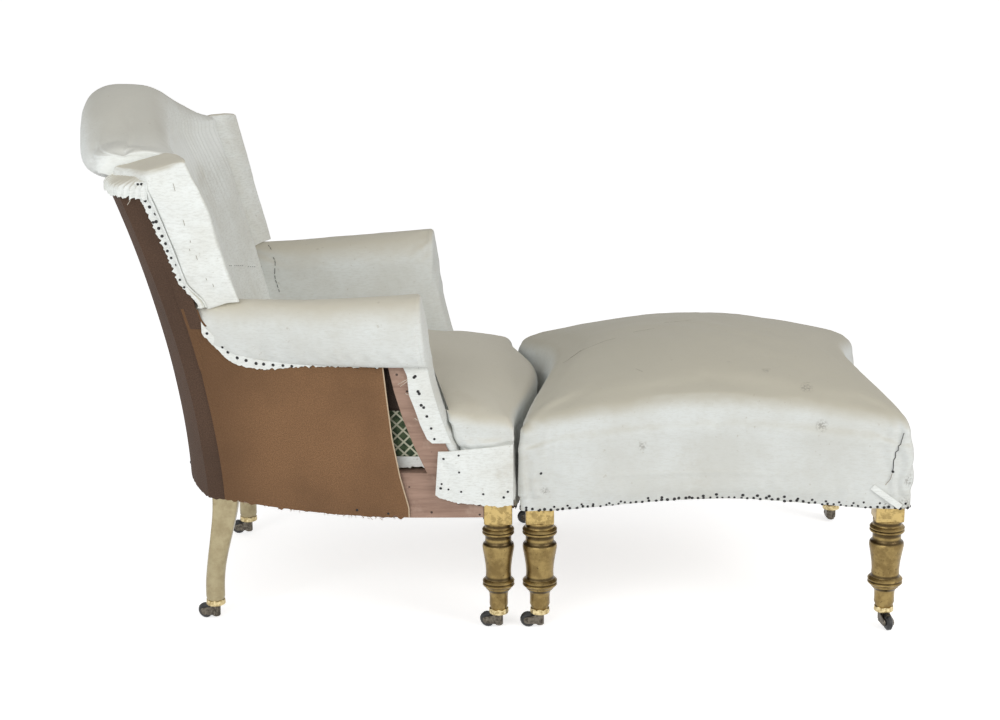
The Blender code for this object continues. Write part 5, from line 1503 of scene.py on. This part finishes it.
def post_cover_table(side):
    table = []
    for row in np.linspace(0, 1, 9):
        line = []
        for z in np.linspace(0.4915, 0.3500, 60):
            torn = np.interp(z, [p[0] for p in POST_TEAR], [p[1] for p in POST_TEAR])
            x = mix(torn, arm_front_x(z) - 0.001, row)
            line.append((x, (outside_y(x, z) + 0.0010 + 0.0006 * wavy(x, z, 0.0, 40.0)) * side, z))
        table.append(line)
    return np.array(table) + (CHAIR_X, 0, 0)


def seat_border_table(side):
    """The seat's calico border, tacked over the foot of the arm post and the rail, with a torn hem."""
    table = []
    for row in np.linspace(0, 1, 21):
        line = []
        for column in np.linspace(0, 1, 60):
            x = mix(-0.107, 0.0265, column) + 0.006 * row * (1 - column)
            top = np.interp(x, [p[0] for p in BORDER_SEAM], [p[1] for p in BORDER_SEAM]) + 0.001
            z = mix(np.interp(x, [p[0] for p in BORDER_TEAR], [p[1] for p in BORDER_TEAR]), top, row)
            y = mix(outside_y(x, z) + 0.0018, 0.3122, ease(-0.085, -0.055, x))
            pull = 0.0009 * sin(9 * atan2(top - z, x + 0.107) + 2) * exp(-((x + 0.107) / 0.06) ** 2)
            line.append((x, (y + 0.0006 * wavy(x, z, 0.0, 30.0) + pull) * side, z))
        table.append(line)
    return np.array(table) + (CHAIR_X, 0, 0)


for side, word in ((-1, "right"), (1, "left")):
    cloth_piece(word + "_post_strip", post_cover_table(side), STRIP_CALICO,
                0.0009, seed=side * 3.0)
    cloth_piece(word + "_seat_border", seat_border_table(side), STRIP_CALICO,
                0.0009, ragged=0.0030, seed=side * 4.0)

# %% [markdown]
# ## Legs
# A turned leg is drawn as half its outline and spun round its axis, as on a lathe, and its square block is
# a bevelled cube above. The leg is made once, and copied to its six places, each copy with its own
# mesh. The rings were measured in the photograph, each against the castors below it.

# %% Turn the front legs
LEG_SHARES = [(0.0, 0.0147, 0), (0.045, 0.580, 1), (0.11, 0.570, 1), (0.172, 0.585, 1), (0.200, 0.660, 1),
              (0.228, 0.800, 1), (0.246, 0.815, 1), (0.256, 0.930, 1), (0.272, 1.000, 1), (0.286, 0.985, 1),
              (0.294, 0.935, 1), (0.302, 0.985, 1), (0.317, 1.000, 1), (0.332, 0.930, 1), (0.342, 0.830, 1),
              (0.362, 0.800, 1), (0.430, 0.785, 1), (0.500, 0.815, 1), (0.560, 0.860, 1), (0.620, 0.912, 1),
              (0.668, 0.960, 1), (0.705, 0.988, 1), (0.728, 0.985, 1), (0.745, 0.955, 1), (0.757, 0.870, 1),
              (0.772, 0.820, 1), (0.800, 0.810, 1), (0.830, 0.812, 1), (0.848, 0.835, 1), (0.858, 0.940, 1),
              (0.872, 1.000, 1), (0.885, 0.985, 1), (0.893, 0.935, 1), (0.901, 0.985, 1), (0.914, 1.000, 1),
              (0.928, 0.940, 1), (0.938, 0.845, 1), (0.958, 0.810, 1), (0.985, 0.830, 1)]


def turn_leg(name, ring_radius, block_top):
    low, high = 0.0390, 0.1975
    outline = [(0.0, 0.0305), (0.0147, 0.0305), (0.0147, 0.0388)]
    outline += [(ring_radius * radius, low + (high - low) * share) for share, radius, _ in LEG_SHARES[1:]]
    outline += [(ring_radius * 0.83, high + 0.001), (0.0, high + 0.001)]
    clear()
    bpy.ops.mesh.primitive_plane_add(size=1)
    leg = start(name)
    bpy.ops.object.mode_set(mode="EDIT")
    bpy.ops.mesh.delete(type="VERT")
    bpy.ops.object.mode_set(mode="OBJECT")
    leg.data.vertices.add(len(outline))
    leg.data.edges.add(len(outline) - 1)
    for i, (radius, z) in enumerate(outline):
        leg.data.vertices[i].co = (radius, 0, z)
    for i in range(len(outline) - 1):
        leg.data.edges[i].vertices = (i, i + 1)
    leg.data.update()
    in_edit(leg, lambda: bpy.ops.mesh.spin(steps=48, angle=2 * pi, center=(0, 0, 0), axis=(0, 0, 1)), merge, outward)
    bpy.ops.mesh.primitive_cube_add(size=1, location=(0, 0, (high + block_top) / 2))
    block = start(name + "_block")
    block.dimensions = (0.049, 0.049, block_top - high)
    only(block)
    bpy.ops.object.transform_apply(location=True, rotation=False, scale=True)
    apply_modifier(block, "BEVEL", width=0.0028, segments=3, limit_method="ANGLE")
    only(leg)
    block.select_set(True)
    bpy.ops.object.join()
    return leg


chair_leg = turn_leg("turned_leg", 0.0280, 0.2918)
stool_leg = turn_leg("stool_turned_leg", 0.0303, 0.2998)


def set_leg(model, node, body):
    leg = model.copy()
    leg.data = model.data.copy()
    leg.name = node + "_turned"
    bpy.context.scene.collection.objects.link(leg)
    spot = middle(node)
    set_points(leg, points_of(leg) + (spot.x, spot.y, 0))
    smooth(leg, 32)
    dress(leg, GILT)
    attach(leg, body)
    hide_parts(node)


for word in ("right", "left"):
    set_leg(chair_leg, "chair_" + word + "_front_leg", "chair")
    for end in ("inner", "outer"):
        set_leg(stool_leg, "stool_" + word + "_" + end + "_leg", "stool")
bpy.data.objects.remove(chair_leg)
bpy.data.objects.remove(stool_leg)

# %% [markdown]
# The rear leg and the back post are one piece of beech: a sabre curve, round at the foot and swelling
# to a rectangle at the rail, gilded only where it shows. A cylinder is laid on those sections, and
# the post above the rail gets the bare wood.

# %% Shape the rear legs
def sabre_rings():
    rings = []
    base = post_front_x(0.25) - 0.024
    for z in np.linspace(0.0305, 0.245, 34):
        turn = min(max((0.25 - z) / 0.20, 0.0), 1.0)
        x = base - 0.0275 * (1 - cos(pi * turn)) / 2
        share = max((z - 0.039) / 0.206, 0.0)
        thick = max(share - 0.25, 0.0) * 4 / 3
        if z < 0.0388:
            rings.append((x, 0.227, z, 0.0147, 0.0147, 0.0))
        else:
            rings.append((x, 0.227, z, mix(0.0168, 0.024, thick ** 1.5), mix(0.0168, 0.020, thick ** 1.5),
                          min(thick * 2, 1.0)))
    top_y = rear_half(0.786) - 0.0228
    for z in np.linspace(0.26, 0.786, 24):
        rings.append((post_front_x(z) - 0.024, mix(0.227, top_y, (z - 0.245) / 0.541), z, 0.024, 0.020, 1.0))
    return rings


def sabre_table(side, count=40):
    table = []
    for x, y, z, half_x, half_y, square in sabre_rings():
        line = []
        for i in range(count):
            angle = 2 * pi * i / count
            power = mix(1.0, 0.22, square)
            cx = abs(cos(angle)) ** power * (1 if cos(angle) > 0 else -1)
            cy = abs(sin(angle)) ** power * (1 if sin(angle) > 0 else -1)
            line.append((x + half_x * cx + CHAIR_X, (y + half_y * cy) * side, z))
        table.append(line)
    for end, row in ((0, 0), (len(table), -1)):
        centre = tuple(np.mean(table[row], axis=0))
        table.insert(end, [centre] * count)
    return table


for side, word in ((-1, "right"), (1, "left")):
    leg = rolled(word + "_sabre_leg", sabre_table(side))
    smooth(leg, 40)
    dress(leg, PALE_GILT)
    leg.data.materials.append(BEECH)
    for face in leg.data.polygons:
        face.material_index = int(face.center.z > 0.246)
    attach(leg, "chair")
    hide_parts("chair_" + word + "_rear_leg")


# %% [markdown]
# ## Tacks, threads and frayed ends
# An upholstery tack has a flat, slightly domed head about five millimetres across. One is modelled from a
# low cylinder with a bevelled rim, with few faces because it is repeated hundreds of times. It is then
# set along each tacked edge, on the surface it was driven into, unevenly, as by hand.

# %% Model one tack
clear()
bpy.ops.mesh.primitive_cone_add(vertices=8, radius1=0.0026, radius2=0.0015, depth=0.0011, location=(0, 0, 0.00035))
tack_model = start("tack_model")
bpy.ops.object.transform_apply(location=True)
tack_points = points_of(tack_model)
tack_faces = [tuple(face.vertices) for face in tack_model.data.polygons]
bpy.data.objects.remove(tack_model)


def set_tacks(name, places, body, size=1.0):
    """All the tacks of one edge, as one piece. Each place is a point, and the way that the head faces."""
    points, faces = [], []
    for number, (spot, facing) in enumerate(places):
        turn = Vector(facing).to_track_quat("Z", "Y")
        big = size * (0.82 + 0.36 * (0.5 + 0.5 * sin(number * 12.9)))
        base = len(points)
        points += [tuple(turn @ (Vector(p) * big) + Vector(spot)) for p in tack_points]
        faces += [tuple(i + base for i in face) for face in tack_faces]
    mesh = bpy.data.meshes.new(name)
    mesh.from_pydata(points, [], faces)
    piece = bpy.data.objects.new(name, mesh)
    bpy.context.scene.collection.objects.link(piece)
    dress(piece, TACK)
    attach(piece, body)
    print(name, len(places), "tacks")
    return piece


def scatter(line, pitch, pieces, sink=0.0, stray=0.0025, missing=0.12, seed=1.0):
    """Places along a line, at an uneven pitch, on the nearest of some pieces."""
    line = np.asarray(line, float)
    length = np.linalg.norm(np.diff(line, axis=0), axis=1).sum()
    spots = even(line, max(int(length / pitch), 2))
    out = []
    for i, spot in enumerate(spots):
        if noise.noise(Vector((i * 0.71, seed, 0))) > 0.5 - missing * 2:
            continue
        shift = Vector((noise.noise(Vector((i * 1.7, seed, 1))), 0, noise.noise(Vector((i * 1.7, seed, 7))))) * stray * 2
        target = Vector(spot) + shift
        found = min((on_surface(piece, target) for piece in pieces), key=lambda hit: (hit[0] - target).length)
        out.append((found[0] + found[1] * (0.0002 - sink), found[1]))
    return out


# %% Set the stool's tacks
def stool_edge(lift):
    """The stool's lower edge all round, a little above the cover's hem."""
    line = []
    for x in np.linspace(-0.325, 0.325, 60):
        line.append((x + STOOL_X, -stool_side(x), stool_low(x) + lift))
    for y in np.linspace(-0.300, 0.300, 50):
        line.append((stool_end(y) + STOOL_X, y, stool_low(stool_end(y)) + lift))
    for x in np.linspace(0.325, -0.325, 60):
        line.append((x + STOOL_X, stool_side(x), stool_low(x) + lift))
    for y in np.linspace(0.300, -0.300, 50):
        line.append((-stool_end(y) + STOOL_X, y, stool_low(stool_end(y)) + lift))
    return line


stool_spots = scatter(stool_edge(0.0035), 0.0105, [stool_cover], stray=0.0022, missing=0.02, seed=2.0)
stool_spots += scatter(stool_edge(0.008), 0.023, [stool_cover], stray=0.004, missing=0.1, seed=9.0)
for x, z in ((-0.299, 0.2928), (0.2995, 0.2924)):
    stool_spots.append(on_surface(stool_cover, (x + STOOL_X, -0.31, z)))
set_tacks("stool_tacks", stool_spots, "stool")

# %% Set the chair's tacks
for side, word in ((-1, "right"), (1, "left")):
    strip = [bpy.data.objects[word + "_wing_strip"]]
    down = at([(wing_rear_x(z) - 0.007, wing_outer_y(z), z) for z in np.linspace(0.795, 0.590, 40)], side)
    spots = scatter(down, 0.0125, strip, missing=0.08, seed=side)
    down = at([(wing_rear_x(z) - 0.013, wing_outer_y(z), z) for z in np.linspace(0.795, 0.730, 12)], side)
    spots += scatter(down, 0.014, strip, missing=0.08, seed=side + 3)
    roll_strip = [bpy.data.objects[word + "_roll_strip"]]
    spots += scatter(at([(-0.622, 0.285, 0.792), (-0.60, 0.30, 0.787), (-0.58, 0.31, 0.785)], side), 0.009, roll_strip,
                     missing=0.0, seed=side + 5)
    set_tacks(word + "_wing_tacks", spots, "chair")
    strip = [bpy.data.objects[word + "_arm_strip"]]
    line = at([(x, 0.31, tack_line_z(x) - 0.003 + 0.012 * ease(-0.44, -0.49, x)) for x in np.linspace(-0.49, -0.20, 50)],
              side)
    set_tacks(word + "_arm_tacks", scatter(line, 0.0150, strip, missing=0.08, seed=side + 2), "chair")
    panel = [bpy.data.objects[word + "_arm_hessian"]]
    low = at([(x, outside_y(x, 0.23), rail_bottom(x) + 0.012) for x in np.linspace(-0.465, -0.165, 30)], side)
    set_tacks(word + "_hem_tacks", scatter(low, 0.017, panel, stray=0.004, missing=0.12, seed=side + 6), "chair")
    post = bpy.data.objects[word + "_post_strip"]
    spots = [on_surface(post, (x + CHAIR_X, side * 0.33, z)) for x, z in
             ((-0.150, 0.487), (-0.131, 0.487), (-0.137, 0.470), (-0.139, 0.468), (-0.133, 0.443), (-0.131, 0.439),
              (-0.128, 0.418), (-0.124, 0.414), (-0.119, 0.398), (-0.112, 0.376), (-0.107, 0.357))]
    border = bpy.data.objects[word + "_seat_border"]
    spots += [on_surface(border, (x + CHAIR_X, side * 0.315, z)) for x, z in
              ((-0.092, 0.322), (-0.066, 0.327), (-0.066, 0.297), (-0.096, 0.276), (-0.084, 0.266), (-0.063, 0.262),
               (-0.025, 0.258), (0.017, 0.262), (0.010, 0.252), (-0.098, 0.268))]
    set_tacks(word + "_front_tacks", spots, "chair")
back_low = [(outside_back_x(y, 0.24) + CHAIR_X, y, 0.247) for y in np.linspace(-0.24, 0.24, 40)]
set_tacks("back_hem_tacks", scatter(back_low, 0.022, [outside_back], stray=0.003, missing=0.1, seed=5.0), "chair")
roll_low = []
for share in np.linspace(-0.92, 0.92, 50):
    x, z = roll_point(share, 1.44 * pi)
    roll_low.append((x - 0.006 + CHAIR_X, share * back_half(z), z - 0.005))
set_tacks("roll_tacks", scatter(roll_low, 0.016, [outside_back], stray=0.002, missing=0.05, seed=7.0), "chair")
front_low = [(seat_bow_x(y) + CHAIR_X, y, 0.219) for y in np.linspace(-0.29, 0.29, 50)]
set_tacks("seat_front_tacks", scatter(front_low, 0.024, [seat_cover], missing=0.1, seed=8.0), "chair")


# %% [markdown]
# Loose threads are drawn as very thin tubes: a few white ones where the calico is torn, and many short
# brown ones along the frayed foot of the hessian. They are short ends of the cloth, not cords.

# %% Threads
def set_threads(name, lines, radius, finish, body):
    """Thin three-sided tubes along short lines, as one piece."""
    points, faces = [], []
    for line in lines:
        base = len(points)
        for i, spot in enumerate(line):
            spot = Vector(spot)
            ahead = Vector(line[min(i + 1, len(line) - 1)]) - Vector(line[max(i - 1, 0)])
            side_way = ahead.cross(Vector((0.3, 1, 0.2))).normalized()
            other = ahead.cross(side_way).normalized()
            for k in range(3):
                angle = 2 * pi * k / 3
                points.append(tuple(spot + (side_way * cos(angle) + other * sin(angle)) * radius))
        for i in range(len(line) - 1):
            for k in range(3):
                a, b = base + i * 3 + k, base + i * 3 + (k + 1) % 3
                faces.append((a, b, b + 3, a + 3))
        last = base + (len(line) - 1) * 3
        faces += [(base + 2, base + 1, base), (last, last + 1, last + 2)]
    mesh = bpy.data.meshes.new(name)
    mesh.from_pydata(points, [], faces)
    piece = bpy.data.objects.new(name, mesh)
    bpy.context.scene.collection.objects.link(piece)
    in_edit(piece, outward)
    dress(piece, finish)
    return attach(piece, body)


def hair(root, way, length, seed, bend=0.5, steps=6):
    line, spot = [], Vector(root)
    heading = Vector(way).normalized()
    for i in range(steps):
        line.append(tuple(spot))
        sway = Vector((noise.noise(Vector((seed, i * 0.4, 0))), noise.noise(Vector((seed, i * 0.4, 5))),
                       noise.noise(Vector((seed, i * 0.4, 9)))))
        heading = (heading + sway * bend).normalized()
        spot = spot + heading * length / steps
    return line


for side, word in ((-1, "right"), (1, "left")):
    fringe = []
    for i, x in enumerate(np.linspace(-0.470, -0.155, 90)):
        z = rail_bottom(x) + 0.003
        root = (x + CHAIR_X, side * (outside_y(x, z) + 0.0002), z)
        tuft = exp(-((x + 0.225) / 0.035) ** 2)
        if noise.noise(Vector((i * 0.3, side, 2))) > 0.12 - 0.5 * tuft:
            way = (0.9 * sin(i * 2.1), 0.05 * side, -1)
            fringe.append(hair(root, way, 0.0045 + (0.003 + 0.005 * tuft) * abs(sin(i * 3.7)), i * 0.77, 0.8))
    set_threads(word + "_hem_fringe", fringe, 0.0004, FIBRE, "chair")
    y = side * (outside_y(-0.15, 0.47) + 0.002)
    ends = [hair((-0.149 + CHAIR_X, y, 0.466), (-0.9, 0.2 * side, -0.5), 0.022, 1.0, 0.6, 9),
            hair((-0.150 + CHAIR_X, y, 0.463), (-0.7, 0.2 * side, -0.9), 0.018, 4.0, 0.7, 9),
            hair((-0.147 + CHAIR_X, y, 0.438), (-0.9, 0.1 * side, 0.1), 0.009, 6.0, 0.8, 6),
            hair((-0.134 + CHAIR_X, y, 0.394), (-0.9, 0.1 * side, 0.2), 0.008, 7.0, 0.8, 6),
            hair((-0.600 + CHAIR_X, side * 0.306, 0.772), (-0.4, 0.3 * side, -0.9), 0.016, 8.0, 0.7, 7)]
    set_threads(word + "_loose_threads", ends, 0.0004, THREAD, "chair")


# %% [markdown]
# Stitches, slits and scratches are fine dark lines. They are drawn as hair-thin threads that lie on the
# covers: the seam across the inside back and down beside the arm, the slits in the wings where an older
# cover was cut off, and the split seam and the scratches in the footstool.

# %% Dark lines on the covers
def lying(piece, line, pitch=0.004):
    count = max(int(np.linalg.norm(np.diff(np.array(line), axis=0), axis=1).sum() / pitch), 3)
    out = []
    for spot in even(line, count):
        place, facing = on_surface(piece, spot)
        out.append(tuple(place + facing * 0.0003))
    return out


def stitched(piece, line, stitch, gap, seed):
    """Short lengths along a line, some missing, as an old seam is."""
    line = np.asarray(line, float)
    length = np.linalg.norm(np.diff(line, axis=0), axis=1).sum()
    fine = even(line, max(int(length / 0.001), 4))
    step, held, out = int((stitch + gap) * 1000), int(stitch * 1000), []
    for i in range(0, len(fine) - held, step):
        if noise.noise(Vector((i * 0.31, seed, 0.5))) > -0.25:
            out.append(lying(piece, fine[i:i + held + 1], 0.002))
    return out


for side, word in ((-1, "right"), (1, "left")):
    wing = bpy.data.objects[word + "_wing_cover"]
    marks = [lying(wing, at([(x, 0.33, z + reach), (x + reach / 2, 0.33, z - reach)], side), 0.001)
             for x, z, reach in ((-0.529, 0.791, 0.006), (-0.516, 0.729, 0.005), (-0.506, 0.698, 0.002), (-0.509, 0.681, 0.002),
                                 (-0.498, 0.669, 0.004), (-0.484, 0.627, 0.003), (-0.474, 0.6145, 0.003))]
    set_threads(word + "_wing_slits", marks, 0.0005, SCUFF, "chair")
    across = at([(-0.497, 0.047, 0.5855), (-0.486, 0.121, 0.570), (-0.4735, 0.170, 0.558), (-0.455, 0.232, 0.546)], side)
    set_threads(word + "_back_stitches", stitched(back_cover, across, 0.005, 0.006, side * 3.0), 0.0006, TACK,
                "chair")
    arm = bpy.data.objects[word + "_arm_cover"]
    down = at([(-0.446, 0.243, 0.590), (-0.434, 0.240, 0.556), (-0.431, 0.238, 0.522), (-0.424, 0.236, 0.470)], side)
    set_threads(word + "_arm_stitches", stitched(arm, down, 0.007, 0.003, side * 6.0), 0.0006, TACK, "chair")
split_seam = lying(stool_cover, [(x + STOOL_X, -0.312, z) for _, (x, _, z) in zip(range(3), SLIT)])
faint = lying(stool_cover, [(0.298 + STOOL_X, -0.312, 0.290), (0.290 + STOOL_X, -0.312, 0.268)])
set_threads("stool_split_seam", [split_seam], 0.0008, TACK, "stool")
set_threads("stool_faint_line", [faint], 0.0004, FIBRE, "stool")
scratches = []
for i, (x, y, long, turn) in enumerate(((0.106, -0.081, 0.055, 0.55), (0.150, -0.060, 0.045, 0.35), (0.120, -0.070, 0.030, 0.6),
                                        (0.187, -0.0445, 0.03, 0.2), (0.31, 0.02, 0.05, 0.1), (0.25, -0.02, 0.04, 0.15),
                                        (0.24, -0.20, 0.018, -0.9), (0.46, -0.215, 0.016, 0.2), (0.53, -0.253, 0.014, 0.5))):
    base = (x - 0.3735 + STOOL_X, y, 0.46)
    end = (base[0] + long * cos(turn), y + long * sin(turn), 0.46)
    scratches.append(lying(stool_cover, [base, end]))
set_threads("stool_scratches", scratches, 0.0002, SCUFF, "stool")

# %% [markdown]
# A short end of cotton tape is still tacked over the stool's near outer corner.

# %% Cloth tape on the stool
tape = []
for row in np.linspace(0, 1, 5):
    line = []
    for column in np.linspace(0, 1, 24):
        x = mix(0.6403, 0.6900, column) - 0.3735 + STOOL_X + (row - 0.5) * 0.007
        z = mix(0.2655, 0.2285, column) + (row - 0.5) * 0.008
        spot, facing = on_surface(stool_cover, (x, -0.31, z))
        line.append(tuple(spot + facing * (0.0012 + 0.0012 * sin(pi * column) + 0.0006 * wavy(x, 0, z, 50.0))))
    tape.append(line)
cloth_piece("corner_tape", tape, STRIP_CALICO, 0.0008, body="stool")

# %% [markdown]
# The floor is pale and plain. It takes the object's shadow, and a glow seen only by the camera and by
# reflections lifts it to white, so that the light on the object stays as it is.

# %% Floor
clear()
bpy.ops.mesh.primitive_plane_add(size=60, location=(0, 0, 0))
floor = start("floor")
paper, tree, shader, place, _ = new_finish("paper", 0.9)
shader.inputs["Base Color"].default_value = (0.80, 0.80, 0.80, 1)
rays = tree.nodes.new("ShaderNodeLightPath")
seen = reckon(tree, "MAXIMUM", rays.outputs["Is Camera Ray"],
              reckon(tree, "MAXIMUM", rays.outputs["Is Glossy Ray"], rays.outputs["Is Transmission Ray"]))
shader.inputs["Emission Color"].default_value = (1, 1, 1, 1)
tree.links.new(reckon(tree, "MULTIPLY", seen, 0.68), shader.inputs["Emission Strength"])
floor.data.materials.append(paper)
floor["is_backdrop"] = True

# %% [markdown]
# The light is that of a bright room: an even sky, and a wide soft lamp from the camera's side that leaves
# the sides brighter than the tops, as in the photograph. A second lamp lightens the front.

# %% Light
world = bpy.data.worlds.new("room")
bpy.context.scene.world = world
world.use_nodes = True
tree = world.node_tree
rays = tree.nodes.new("ShaderNodeLightPath")
seen = reckon(tree, "MAXIMUM", rays.outputs["Is Camera Ray"],
              reckon(tree, "MAXIMUM", rays.outputs["Is Glossy Ray"], rays.outputs["Is Transmission Ray"]))
power = tree.nodes.new("ShaderNodeMapRange")
power.inputs["To Min"].default_value = 0.385
power.inputs["To Max"].default_value = 1.0
tree.links.new(seen, power.inputs["Value"])
tree.links.new(power.outputs["Result"], tree.nodes["Background"].inputs["Strength"])
tree.nodes["Background"].inputs["Color"].default_value = (1, 1, 1, 1)


def soft_lamp(name, place, aim, wide, high, watts, colour):
    light = bpy.data.lights.new(name, "AREA")
    light.shape = "RECTANGLE"
    light.size, light.size_y = wide, high
    light.energy = watts
    light.color = colour
    lamp = bpy.data.objects.new(name, light)
    bpy.context.scene.collection.objects.link(lamp)
    lamp.location = place
    lamp.rotation_euler = (Vector(aim) - Vector(place)).to_track_quat("-Z", "Y").to_euler()
    return lamp


soft_lamp("window", (-1.4, -3.0, 1.65), (0, 0, 0.4), 2.6, 1.8, 51, (0.97, 0.99, 1.0))
soft_lamp("front", (2.6, -1.8, 1.7), (0, 0, 0.45), 1.6, 1.6, 40, (1.0, 0.99, 0.97))

# %% Measure and finish
low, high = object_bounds()
for name, width, length in SHEETS:
    print("sheet", name, width, "x", length, "mm")
